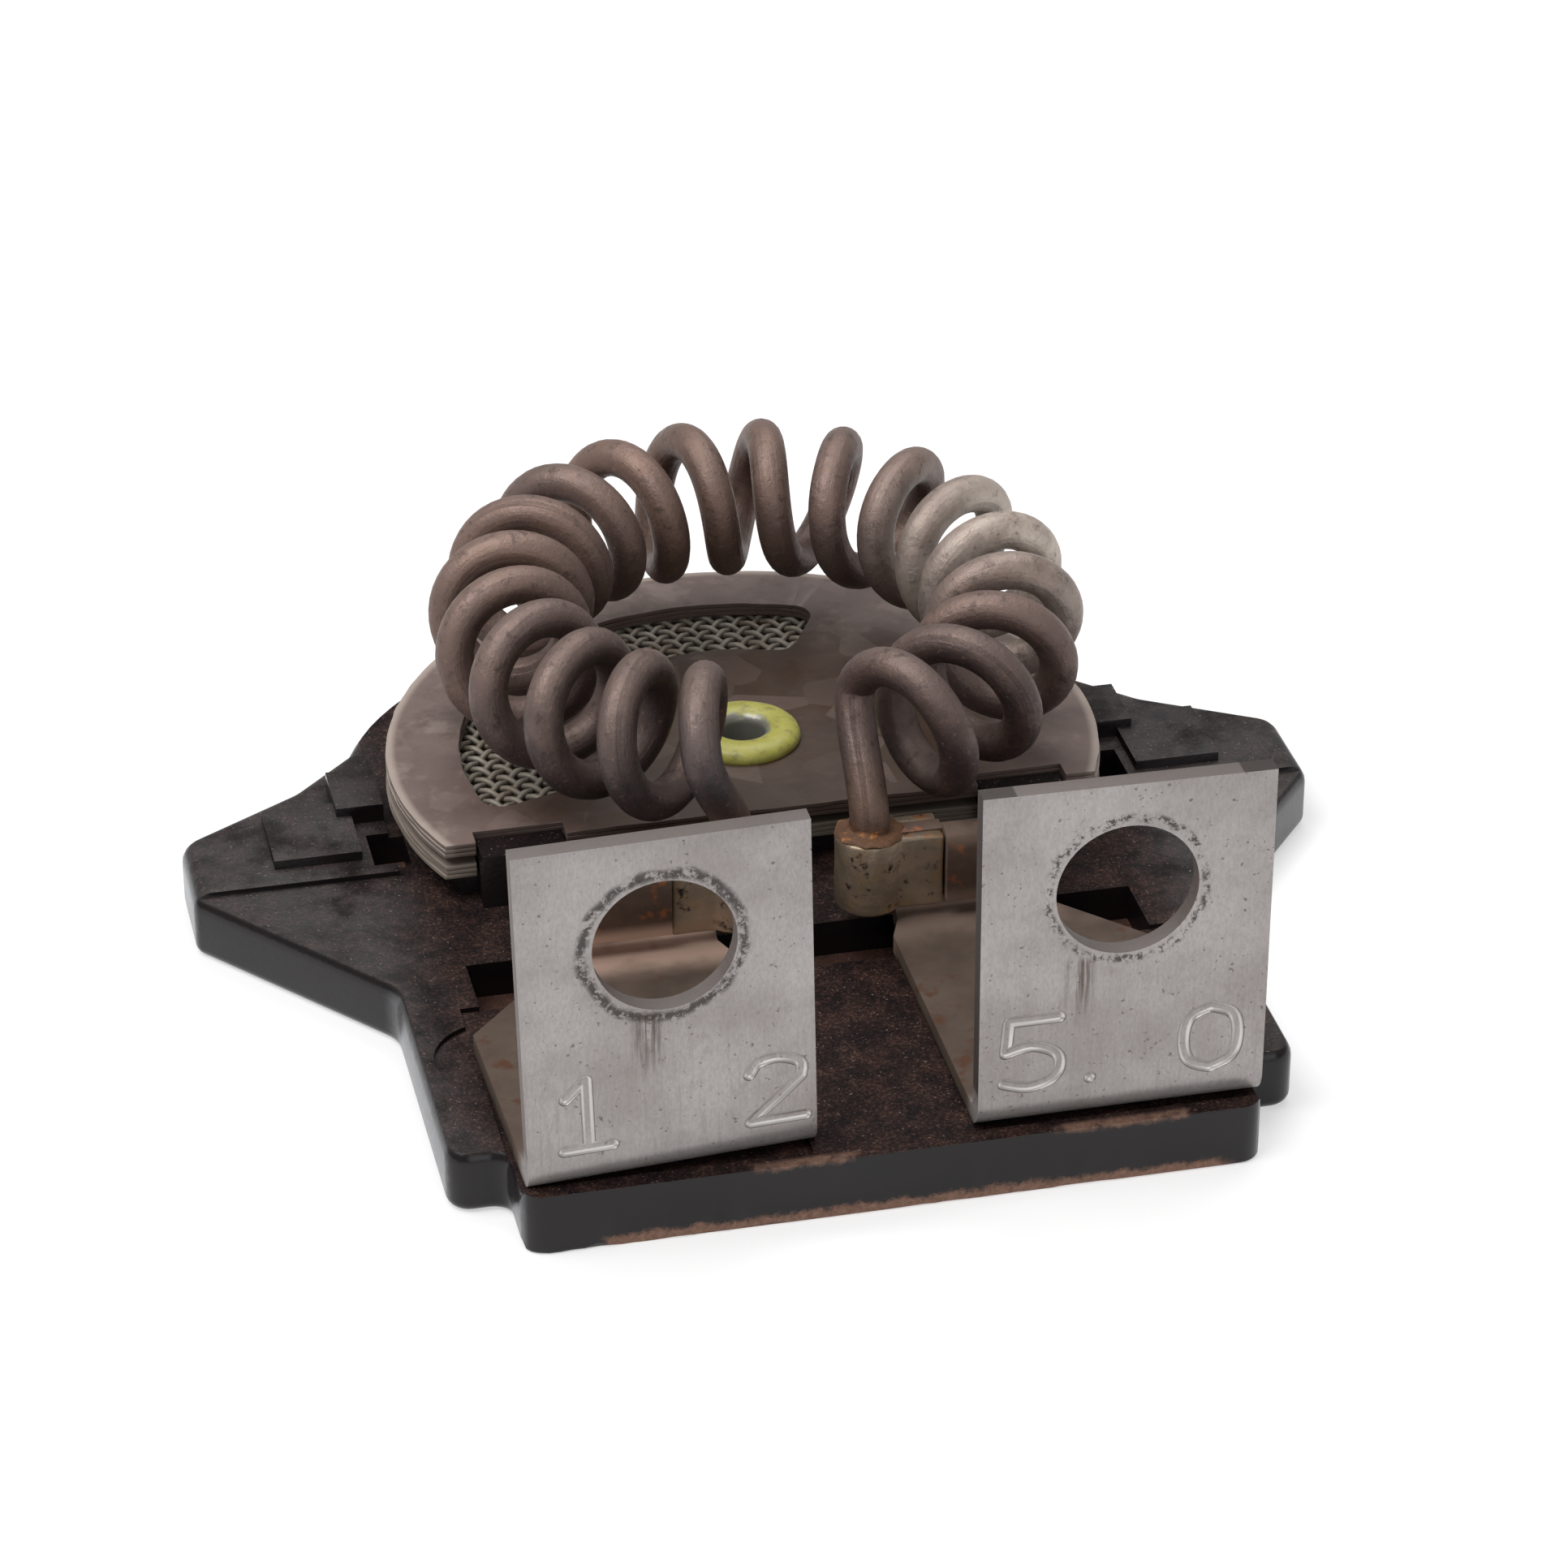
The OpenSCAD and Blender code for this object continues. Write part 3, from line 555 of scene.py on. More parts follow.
def stainedStrip():
    # nickel-plated brass strip, browned and gone olive, with burnt flux where it faces up
    material, tree, shader, place = newMaterial("heat stained brass strip", 0.42, 0.6)
    add = partial(addNode, tree)
    face = add("NewGeometry", out="Normal")
    tilt = add("SeparateXYZ", [face], out="Z")
    colour = mottled(add, place, 1.6, "#64574B", "#B8A58F", 5, 0.6)
    colour = layOver(add, colour, "#9C835D", patches(add, place, 1.1, 0.52, 0.68, 5, 0.65), 0.6)
    flux = add("Math", [patches(add, place, 0.8, 0.48, 0.62, 4, 0.6),
        add("Math", [add("MapRange", [tilt, 0.3, 0.9], interpolation_type="SMOOTHSTEP"), 0.7, 0.15],
        operation="MULTIPLY_ADD")], operation="MULTIPLY")
    colour = layOver(add, colour, "#A0683C", flux)
    colour = layOver(add, colour, "#2B2522", patches(add, place, 0.6, 0.58, 0.7, 4, 0.6))
    tree.links.new(colour, shader.inputs["Base Color"])
    rough = add("Math", [add("TexNoise", {"Vector": place, "Scale": perMm(0.8), "Detail": 4}), 0.4, 0.24],
        operation="MULTIPLY_ADD")
    tree.links.new(rough, shader.inputs["Roughness"])
    tree.links.new(add("Bump", {"Height": add("TexNoise", {"Vector": place, "Scale": perMm(0.5),
        "Detail": 5, "Roughness": 0.6}), "Distance": 0.06 * mm, "Strength": 0.8}), shader.inputs["Normal"])
    return material


def brazingAlloy():
    # copper-rich brazing alloy under burnt flux, rough and dark brown
    material, tree, shader, place = newMaterial("burnt brazing alloy", 0.6, 0.3)
    add = partial(addNode, tree)
    colour = mottled(add, place, 0.7, "#3F2E25", "#8A6142", 5, 0.65)
    colour = layOver(add, colour, "#B0743E", patches(add, place, 0.5, 0.6, 0.72, 4))
    tree.links.new(colour, shader.inputs["Base Color"])
    tree.links.new(add("Bump", {"Height": add("TexNoise", {"Vector": place, "Scale": perMm(0.25),
        "Detail": 5, "Roughness": 0.65}), "Distance": 0.08 * mm, "Strength": 0.9}), shader.inputs["Normal"])
    return material


def dullSteel():
    # plain steel rivet stock, handled and slightly rusted
    material, tree, shader, place = newMaterial("dull rivet steel", 0.45, 1)
    add = partial(addNode, tree)
    colour = mottled(add, place, 1.2, "#7D746D", "#A29A92", 4)
    colour = layOver(add, colour, "#5F4133", patches(add, place, 0.7, 0.55, 0.68, 5, 0.65))
    tree.links.new(colour, shader.inputs["Base Color"])
    rough = add("Math", [add("TexNoise", {"Vector": place, "Scale": perMm(0.5), "Detail": 4}), 0.3, 0.3],
        operation="MULTIPLY_ADD")
    tree.links.new(rough, shader.inputs["Roughness"])
    tree.links.new(add("Bump", {"Height": add("TexNoise", {"Vector": place, "Scale": perMm(0.3),
        "Detail": 4}), "Distance": 0.03 * mm, "Strength": 0.8}), shader.inputs["Normal"])
    return material


# base moulding

baseShape = {
    "edge": 0.16,          # radius of the mould edges, mm
    "rim": 0.75,           # radius along the rim of the ears and body, mm
    "rimLow": 0.45,        # the same along the underside
    "neckShare": 0.55,     # how much of it is left along the neck
    "frontShare": 0.36,    # and along the front face
    "pad": 0.22,           # height of the ears' raised part
    "earFrom": 11,         # where the ears start, from the middle, mm
    "earFade": 3,          # over which the rim grows to its full radius
    "chipsLow": ((-11.5, 12.5, 1), (14, 17, 0.8)),      # from, to in X and how strong, along the lower edge
    "chipsHigh": ((-5, -1.4, 0.8), (5.5, 11.5, 0.9)),
    "flash": 0.16,         # how far the parting flash wanders along the front, mm
    "flashGrain": (900, 2600),    # its large and small waves, per metre
    "step": 0.45,          # spacing of the points that carry the flash, mm
}


def baseOutline(piece):
    # corners of the plate's outline, in order, from the foot of its outer walls
    work = bmesh.new()
    work.from_mesh(piece.data)
    work.normal_update()
    joined = {}
    for edge in work.edges:
        low = all(v.co.z < baseLow.z + 0.02 * mm for v in edge.verts)
        wall = any(abs(f.normal.z) < 0.1 and max(v.co.z for v in f.verts) > baseLow.z + 2 * mm
                   for f in edge.link_faces)
        if low and wall:
            a, b = edge.verts
            joined.setdefault(a.index, []).append(b.index)
            joined.setdefault(b.index, []).append(a.index)
    work.verts.ensure_lookup_table()
    start = min(joined)
    path, last = [start], None
    while True:
        following = [n for n in joined[path[-1]] if n != last][0]
        if following == start:
            break
        last = path[-1]
        path.append(following)
    points = [work.verts[i].co.to_2d() for i in path]
    work.free()
    area = sum(a.x * b.y - b.x * a.y for a, b in zip(points, points[1:] + points[:1]))
    return points if area > 0 else points[::-1]


def rimEnvelope(outline, material):
    # a tall shape with the plate's outline, drawn in over the top and bottom of its walls
    rings = []
    turns = (0, 18, 36, 54, 72, 90)
    levels = [("low", t) for t in reversed(turns)] + [("high", t) for t in turns]
    for kind, turn in [("foot", 90)] + levels + [("head", 90)]:
        ring = []
        for i, here in enumerate(outline):
            before, after = outline[i - 1], outline[(i + 1) % len(outline)]
            a, b = (here - before).normalized(), (after - here).normalized()
            inward = Vector((-a.y - b.y, a.x + b.x)).normalized()
            inward /= max(0.6, inward.dot(Vector((-a.y, a.x))))
            ear = min(1, max(0, (abs(here.x) - baseShape["earFrom"] * mm) / (baseShape["earFade"] * mm)))
            share = baseShape["neckShare"] + (1 - baseShape["neckShare"]) * ear
            if here.y > discAxis.y - 2 * mm:
                share = 1
            if here.y < frontY + 0.5 * mm:
                share = baseShape["frontShare"]
            radius = baseShape["rim" if kind in ("high", "head") else "rimLow"] * share * mm
            inset = radius * (1 - math.cos(math.radians(turn))) + 0.005 * mm
            drop = radius * (1 - math.sin(math.radians(turn)))
            top = plateTop + (baseShape["pad"] + 0.01) * mm * ear
            height = {"foot": baseLow.z - 1 * mm, "low": baseLow.z + drop - 0.01 * mm,
                      "high": top - drop + 0.01 * mm, "head": plateTop + 9 * mm}[kind]
            spot = here + inward * inset
            ring.append(Vector((spot.x, spot.y, height)))
        rings.append(ring)
    count = len(outline)
    faces = [tuple(reversed(range(count))), tuple(range((len(rings) - 1) * count, len(rings) * count))]
    for k in range(len(rings) - 1):
        for i in range(count):
            j = (i + 1) % count
            faces.append((k * count + i, k * count + j, (k + 1) * count + j, (k + 1) * count + i))
    mesh = bpy.data.meshes.new("envelope")
    mesh.from_pydata([tuple(v) for ring in rings for v in ring], [], faces)
    mesh.materials.append(material)
    envelope = addObject("envelope", mesh)
    return envelope


def buildBase():
    piece = copyNode("base_moulding", "BaseMoulding", mouldedPhenolic())
    outline = baseOutline(piece)
    bevelPiece(piece, baseShape["edge"], 2, 40)
    envelope = rimEnvelope(outline, piece.data.materials[0])
    cut = piece.modifiers.new("rim", "BOOLEAN")
    cut.operation = "INTERSECT"
    cut.solver = "EXACT"
    cut.object = envelope
    applyModifiers(piece)
    bpy.data.objects.remove(envelope)
    work = bmesh.new()
    work.from_mesh(piece.data)
    bmesh.ops.remove_doubles(work, verts=work.verts, dist=0.002 * mm)
    # short segments along the front edges, so the flash can be uneven
    longEdges = [e for e in work.edges if e.calc_length() > 1.5 * mm
                 and all(v.co.y < frontY + 0.3 * mm for v in e.verts)
                 and abs(e.verts[0].co.z - e.verts[1].co.z) < 0.05 * mm]
    coarse, fine = baseShape["flashGrain"]
    for edge in longEdges:
        cuts = int(edge.calc_length() / (baseShape["step"] * mm))
        bmesh.ops.subdivide_edges(work, edges=[edge], cuts=cuts)
    for vertex in work.verts:
        if vertex.co.y > frontY + 0.3 * mm:
            continue
        rough = noise.noise(vertex.co * coarse) + 0.6 * noise.noise(vertex.co * fine)
        patch = max(0, noise.noise(Vector((vertex.co.x * 160, 3.3, 0))) + 0.35)
        lower = vertex.co.z < baseLow.z + 0.4 * mm
        amount = baseShape["flash"] * mm * rough * patch
        vertex.co.y += abs(amount) if lower else abs(amount) * 0.5
        if lower and vertex.co.z > baseLow.z + 0.02 * mm:
            vertex.co.z += amount
    bmesh.ops.triangulate(work, faces=[f for f in work.faces if len(f.verts) > 4])
    work.to_mesh(piece.data)
    work.free()
    smoothPiece(piece, 40)
    finishPiece(piece, "base_moulding")
    print("base moulding:", len(piece.data.polygons), "faces")


# terminals

terminals = {
    "holeX": 8.5,                             # hole axis from the middle, mm
    "holeZ": 9.55,                            # hole axis above the plate, mm
    "tabFront": 0.75,                         # tab face behind the base's front, mm
    "tabHigh": 13,                            # over which the twist changes, mm
    "bend": (1.2, 4),                         # behind the face, where the twist starts to fade, and over what
    "twist": {"left": (4.3, 2.3), "right": (0, -1.1)},    # out of square at its foot and top, degrees
    "lean": {"left": 0.3, "right": 0},        # sideways shift of the foot, mm
    "smear": {"left": -0.6, "right": -1.7},
    "sideEdge": {"left": "#6B6360", "right": "#2E2521"},
    "bendHighlightStrength": {"left": 1, "right": 0.35},      # strength of the painted highlight on the inner bend of each leg
    "ringR": 2.96,                            # radius and half-width of the screw-head mark, mm
    "ringW": {"left": 0.32, "right": 0.24},
    "broken": {"left": 0.47, "right": 0.53},
    "edge": 0.07,
    "strokeR": 0.28,                          # radius of the stamping punch's nose, mm
    "strokeDepth": 0.15,
    "marks": {                                # rating digits: glyph, left edge, foot above plate, size
        "left": (("1", 1.0, 1.55, 2.5), ("2", 8.2, 1.45, 2.3)),
        "right": (("5", 0.75, 1.6, 2.5), (".", 4.15, 1.7, 0.1), ("0", 7.6, 1.5, 2.3)),
    },
}

# strokes of each digit in a unit box, width 1 by height 1.15
strokes = {
    "1": (((0.2, 0.87), (0.5, 1.14)), ((0.52, 1.15), (0.52, 0)), ((0.15, 0), (0.87, 0))),
    "2": (((0.05, 0.9), (0.2, 1.1), (0.55, 1.15), (0.88, 1.0), (0.88, 0.75)),
          ((0.88, 0.74), (0.5, 0.4), (0.05, 0.01)), ((0.05, 0), (0.95, 0))),
    "5": (((0.9, 1.15), (0.15, 1.15)), ((0.14, 1.14), (0.1, 0.63)),
          ((0.1, 0.62), (0.5, 0.7), (0.85, 0.55), (0.92, 0.32), (0.8, 0.1), (0.45, 0), (0.08, 0.1))),
    "0": (((0.5, 1.15), (0.15, 0.98), (0.05, 0.58), (0.15, 0.17), (0.5, 0)),
          ((0.5, 0.003), (0.85, 0.17), (0.95, 0.58), (0.85, 0.98), (0.5, 1.147))),
    ".": (((0.5, 0), (0.5, 0.02)),),
}


def roundedStroke(points):
    # extra points on a smooth line through the corners of a stroke
    if len(points) < 4:
        return points
    made = []
    for i in range(len(points) - 1):
        a = points[max(i - 1, 0)]
        b, c = points[i], points[i + 1]
        d = points[min(i + 2, len(points) - 1)]
        for k in range(4):
            t = k / 4
            made.append(tuple(
                0.5 * (2 * b[n] + (c[n] - a[n]) * t + (2 * a[n] - 5 * b[n] + 4 * c[n] - d[n]) * t * t
                       + (3 * b[n] - a[n] - 3 * c[n] + d[n]) * t ** 3) for n in (0, 1)))
    made.append(points[-1])
    return made


def strokeTool(glyph, x, z, size, faceY):
    # the punch for one digit, as round-ended bars along its strokes
    radius = terminals["strokeR"] * mm
    centreY = faceY - radius + terminals["strokeDepth"] * mm
    tools = []
    for stroke in strokes[glyph]:
        path = [Vector((x + px * size * mm, centreY, z + pz * size * mm)) for px, pz in roundedStroke(stroke)]
        vertices, faces = [], []
        sides = 20
        rings = []
        for i, point in enumerate(path):
            ahead = (path[min(i + 1, len(path) - 1)] - path[max(i - 1, 0)]).normalized()
            across = Vector((ahead.z, 0, -ahead.x))
            ends = [(0, 1)]
            if i == 0:
                ends = [(-1, 0.05), (-0.8, 0.6), (-0.45, 0.9), (0, 1)]
            if i == len(path) - 1:
                ends = [(0, 1), (0.45, 0.9), (0.8, 0.6), (1, 0.05)]
            for shift, share in ends:
                ring = []
                for k in range(sides):
                    a = 2 * math.pi * k / sides
                    off = across * math.cos(a) + Vector((0, 1, 0)) * math.sin(a)
                    ring.append(len(vertices))
                    vertices.append(point + ahead * shift * radius + off * radius * share)
                rings.append(ring)
        for a, b in zip(rings, rings[1:]):
            for k in range(sides):
                n = (k + 1) % sides
                faces.append((a[k], b[k], b[n], a[n]))
        faces.append(tuple(rings[0]))
        faces.append(tuple(reversed(rings[-1])))
        mesh = bpy.data.meshes.new("punch")
        mesh.from_pydata([tuple(v) for v in vertices], [], faces)
        work = bmesh.new()
        work.from_mesh(mesh)
        bmesh.ops.recalc_face_normals(work, faces=work.faces)
        work.to_mesh(mesh)
        work.free()
        tool = addObject("punch", mesh)
        tools.append(tool)
    return tools


def buildTerminal(side):
    node = side + "_terminal"
    piece = copyNode(node, side.capitalize() + "Terminal", terminalSteel(side))
    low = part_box(node)[0]
    bevelPiece(piece, terminals["edge"], 2, 40)
    faceY = frontY + terminals["tabFront"] * mm
    for glyph, x, z, size in terminals["marks"][side]:
        for tool in strokeTool(glyph, low.x + x * mm, plateTop + z * mm, size, faceY):
            cut = piece.modifiers.new("stamp", "BOOLEAN")
            cut.operation = "DIFFERENCE"
            cut.solver = "EXACT"
            cut.use_self = True
            cut.object = tool
            applyModifiers(piece)
            bpy.data.objects.remove(tool)
    mesh = piece.data
    stamped = mesh.attributes.new("stamped", "FLOAT", "POINT")
    margin = terminals["strokeR"] * mm
    boxes = [(low.x + x * mm - margin, low.x + (x + size) * mm + margin,
              plateTop + z * mm - margin, plateTop + (z + size * 1.15) * mm + margin)
             for glyph, x, z, size in terminals["marks"][side]]
    for vertex in mesh.vertices:
        x, y, z = vertex.co
        if y < faceY + 0.4 * mm and any(a < x < b and c < z < d for a, b, c, d in boxes):
            stamped.data[vertex.index].value = min(1, max(0, (y - faceY) / (terminals["strokeDepth"] * mm)))
    # the tab stands slightly turned on its bend
    centreX = terminals["holeX"] * mm * (1 if side == "right" else -1)
    atFoot, atTop = (math.radians(a) for a in terminals["twist"][side])
    bendStart, bendReach = terminals["bend"]
    for vertex in mesh.vertices:
        rise = min(1, max(0, (vertex.co.z - plateTop) / (terminals["tabHigh"] * mm)))
        back = min(1, max(0, (vertex.co.y - faceY - bendStart * mm) / (bendReach * mm)))
        if back == 1:
            continue
        hold = 1 - back * back * (3 - 2 * back)
        turn = atFoot + (atTop - atFoot) * rise
        vertex.co.y += hold * math.tan(turn) * (vertex.co.x - centreX)
        vertex.co.x += hold * terminals["lean"][side] * mm * (1 - rise)
    smoothPiece(piece, 40)
    finishPiece(piece, node)
    print(piece.name, len(piece.data.polygons), "faces")


# heater coil: the path follows the winding rule, and a node tree sweeps the wire along it

coil = {
    "wireR": 0.77,                 # mm
    "turnR": 2.48,
    "ringX": 0.6,                  # centre of the ring from the middle of the base
    "ringHalf": (9.8, 10.6),
    "height": 7.95,                # middle of the ring above the plate
    "turns": 18,
    "firstAngle": 244.4,
    "step": 17.44,
    "uneven": (-0.079, 0.05),      # slow drift of the turn spacing, radians
    "pointsPerTurn": 44,
    "sides": 20,
    "waver": 0.05,                 # hand-wound unevenness, mm
    "seed": 2.0,
    "feet": (-2.7, 2.6),
    "footY": 15.675,               # wire ends from the base's front, mm
    "footZ": 1.3,
    "exitZ": 4.6,
    # place (x, from the front, above the plate), inner and outer distance, shade, amount
    "zones": (
        ((-8, 17, 7), 3, 8.5, "#3A3435", 0.75),
        ((-3, 14.5, 7), 1.5, 5, "#3C3E45", 0.6),
        ((7, 15.5, 7.5), 2.5, 7.5, "#33282A", 0.8),
        ((0, 38, 10), 3, 8, "#7A5C4B", 0.5),
        ((-10, 30, 10), 3, 7, "#84695A", 0.4),
        # painted highlight: a pale patch over the right-hand turns
        ((12, 28, 9.5), 1, 8, "#D9CDC1", 1),
        ((2.6, 16, 4.5), 0.8, 3.2, "#7E5C40", 0.5),
        ((-2.9, 15.6, 5), 0.8, 3, "#7E583E", 0.45),
    ),
}


def coilPoint(turn):
    drift, skew = coil["uneven"]
    share = (turn - coil["turns"] / 2) / (coil["turns"] / 2)
    angle = math.radians(coil["firstAngle"] - coil["step"] * turn)
    angle += drift * (share * share - 1) + skew * (share ** 3 - share)
    roll = math.radians(90 + 360 * turn)
    halfX, halfY = coil["ringHalf"]
    outward = Vector((math.cos(angle) / halfX, math.sin(angle) / halfY, 0)).normalized()
    centre = Vector((coil["ringX"] + halfX * math.cos(angle), 26.7 + halfY * math.sin(angle), coil["height"]))
    return centre + outward * coil["turnR"] * math.cos(roll) + Vector((0, 0, coil["turnR"] * math.sin(roll)))


def bridge(start, leave, end, arrive, count):
    # smooth line between two points with set directions
    made = []
    for i in range(1, count):
        s = i / count
        made.append(start * (2 * s ** 3 - 3 * s * s + 1) + leave * (s ** 3 - 2 * s * s + s)
                    + end * (3 * s * s - 2 * s ** 3) + arrive * (s ** 3 - s * s))
    return made


def coilPath():
    first, last = -0.2, coil["turns"] + 0.17
    lift = 4
    leftX, rightX = coil["feet"]
    up = Vector((0, 0, 1))
    feet = [Vector((x, coil["footY"], coil["footZ"])) for x in (leftX, rightX)]
    exits = [Vector((x, coil["footY"], coil["exitZ"])) for x in (leftX, rightX)]
    start, end = coilPoint(first), coilPoint(last)
    startWay = (coilPoint(first + 0.01) - start).normalized()
    endWay = (end - coilPoint(last - 0.01)).normalized()
    path = [feet[0] + up * (exits[0].z - feet[0].z) * i / 6 for i in range(7)]
    path += bridge(exits[0], up * lift, start, startWay * lift, 12)
    count = int((last - first) * coil["pointsPerTurn"])
    path += [coilPoint(first + (last - first) * i / count) for i in range(count + 1)]
    path += bridge(end, endWay * lift, exits[1], -up * lift, 16)
    path += [exits[1] - up * (exits[1].z - feet[1].z) * i / 6 for i in range(7)]
    return [Vector((p.x, p.y, p.z)) * mm + Vector((0, frontY, plateTop)) for p in path]


def sweepTree(material):
    # sweeps round wire along the edges of a mesh, with a slight waver and its own coordinates
    tree = bpy.data.node_groups.new("wire sweep", "GeometryNodeTree")
    add = partial(addNode, tree)
    sockets = {}
    for name, kind in (("Path", "Geometry"), ("Wire radius", "Float"), ("Sides", "Int"),
                       ("Waver", "Float"), ("Seed", "Float")):
        sockets[name] = tree.interface.new_socket(
            name=name, in_out="INPUT", socket_type="NodeSocket" + kind)
    tree.interface.new_socket(name="Wire", in_out="OUTPUT", socket_type="NodeSocketGeometry")
    entry = add("NodeGroupInput").node.outputs
    wander = add("TexNoise", {"Scale": perMm(7), "Detail": 1.0, "W": entry["Seed"]}, out="Color",
        noise_dimensions="4D")
    centred = add("VectorMath", [wander, (0.5, 0.5, 0.5)], operation="SUBTRACT")
    offset = add("VectorMath", {0: centred, "Scale": entry["Waver"]}, operation="SCALE")
    # the ends stay put in their crimps
    height = add("SeparateXYZ", [add("GeometryNodeInputPosition")], out="Z")
    free = add("MapRange", [height, plateTop + 4.6 * mm, plateTop + 6.5 * mm])
    held = add("VectorMath", {0: offset, "Scale": free}, operation="SCALE")
    moved = add("GeometryNodeSetPosition", {"Geometry": entry["Path"], "Offset": held})
    curve = add("GeometryNodeMeshToCurve", [moved])
    length = add("GeometryNodeSplineParameter", out="Length")
    curveMarked = add("GeometryNodeStoreNamedAttribute", {"Name": "wireAlong", "Geometry": curve,
        "Value": length}, data_type="FLOAT", domain="POINT")
    ring = add("GeometryNodeCurvePrimitiveCircle", {"Resolution": entry["Sides"],
        "Radius": entry["Wire radius"]})
    turnShare = add("GeometryNodeSplineParameter", out="Factor")
    ringMarked = add("GeometryNodeStoreNamedAttribute", {"Name": "wireAround", "Geometry": ring,
        "Value": turnShare}, data_type="FLOAT", domain="POINT")
    swept = add("GeometryNodeCurveToMesh", {"Fill Caps": True, "Curve": curveMarked,
        "Profile Curve": ringMarked})
    smooth = add("GeometryNodeSetShadeSmooth", [swept])
    real = add("GeometryNodeRealizeInstances", [smooth])
    dressed = add("GeometryNodeSetMaterial", {"Material": material, "Geometry": real})
    add("NodeGroupOutput", [dressed])
    return tree, sockets


def runTree(piece, tree, sockets, values, material):
    # modifier inputs are set by identifier, then the result becomes a plain mesh
    modifier = piece.modifiers.new(tree.name, "NODES")
    modifier.node_group = tree
    for name, value in values.items():
        modifier[sockets[name].identifier] = value
    applyModifiers(piece)
    if not piece.data.materials:
        piece.data.materials.append(material)


def buildCoil():
    path = coilPath()
    mesh = bpy.data.meshes.new("HeaterCoil")
    mesh.from_pydata([tuple(p) for p in path], [(i, i + 1) for i in range(len(path) - 1)], [])
    piece = addObject("HeaterCoil", mesh)
    material = oxidisedWire()
    tree, sockets = sweepTree(material)
    values = {"Wire radius": coil["wireR"] * mm, "Sides": coil["sides"],
              "Waver": coil["waver"] * 4 * mm, "Seed": coil["seed"]}
    runTree(piece, tree, sockets, values, material)
    finishPiece(piece, "heater_coil")
    print("heater coil:", len(piece.data.polygons), "faces")


# disc stack

disc = {
    "radius": 14.4,
    "chord": 5.85,
    "postX": 10.1,
    "notchW": 3.6,
    "notchD": 0.85,
    "hole": 1.55,
    "window": (7.4, 11.4, 62, 198, 0.9),
    "ragged": 0.07,            # unevenness of the cut rim, mm
    "plies": 3,
    "plyGap": 0.025,
}


def discOutline(radius, seed, ragged):
    chord, left = disc["chord"], disc["postX"] - disc["notchW"] / 2
    right, depth = disc["postX"] + disc["notchW"] / 2, disc["notchD"]
    start = math.degrees(math.asin(-chord / radius))
    points = []
    count = 150
    for i in range(count + 1):
        a = math.radians(start + (180 - 2 * start) * i / count)
        uneven = ragged * (noise.noise(Vector((4 * math.cos(a), 4 * math.sin(a), seed)))
                           + 0.5 * noise.noise(Vector((15 * math.cos(a), 15 * math.sin(a), seed))))
        uneven = min(uneven, 0)
        points.append(((radius + uneven) * math.cos(a), (radius + uneven) * math.sin(a)))
    front = [(-right, -chord), (-right, -chord + depth), (-left, -chord + depth), (-left, -chord)]
    span = [(-left + 2 * left * i / 24, -chord) for i in range(1, 24)]
    front += span + [(-x, y) for x, y in reversed(front)]
    for i, (x, y) in enumerate(front):
        shift = ragged * 0.6 * noise.noise(Vector((x * 0.9, y, seed + 9)))
        points.append((x, y + max(shift, 0)))
    return points


def windowOutline(seed, ragged):
    inner, outer, start, end, corner = disc["window"]
    points = []
    outTrim = math.degrees(corner / (outer - corner))
    inTrim = math.degrees(corner / (inner + corner))

    def arc(cx, cy, r, a0, a1, steps):
        for i in range(steps + 1):
            a = math.radians(a0 + (a1 - a0) * i / steps)
            points.append((cx + r * math.cos(a), cy + r * math.sin(a)))

    def cornerArc(radius, angle, a0, a1):
        arc(radius * math.cos(math.radians(angle)), radius * math.sin(math.radians(angle)), corner, a0, a1, 6)

    arc(0, 0, outer, start + outTrim, end - outTrim, 60)
    cornerArc(outer - corner, end - outTrim, end - outTrim, end + 90 - outTrim)
    cornerArc(inner + corner, end - inTrim, end + 90 - inTrim, end + 180 - inTrim)
    arc(0, 0, inner, end - inTrim, start + inTrim, 40)
    cornerArc(inner + corner, start + inTrim, start + 180 + inTrim, start + 270 + inTrim)
    cornerArc(outer - corner, start + outTrim, start + 270 + outTrim, start + 360 + outTrim)
    cleaned = []
    for x, y in points:
        uneven = 1 + ragged * 0.1 * noise.noise(Vector((x, y, seed)))
        spot = (x * uneven, y * uneven)
        if not cleaned or math.dist(spot, cleaned[-1]) > 0.03:
            cleaned.append(spot)
    return cleaned


def circleOutline(radius, count):
    return [(radius * math.cos(2 * math.pi * i / count), radius * math.sin(2 * math.pi * i / count))
            for i in range(count)]


def plate(work, outlines, low, high, centre):
    # a flat plate with holes, closed, from a list of outlines in millimetres
    edges = []
    for outline in outlines:
        ring = [work.verts.new((centre[0] + x * mm, centre[1] + y * mm, low)) for x, y in outline]
        edges += [work.edges.new((ring[i], ring[(i + 1) % len(ring)])) for i in range(len(ring))]
    filled = bmesh.ops.triangle_fill(work, edges=edges, use_beauty=True)
    bottom = [f for f in filled["geom"] if isinstance(f, bmesh.types.BMFace)]
    for face in bottom:
        face.normal_update()
        if face.normal.z > 0:
            face.normal_flip()
    raised = bmesh.ops.extrude_face_region(work, geom=bottom, use_keep_orig=True)
    for item in raised["geom"]:
        if isinstance(item, bmesh.types.BMVert):
            item.co.z = high


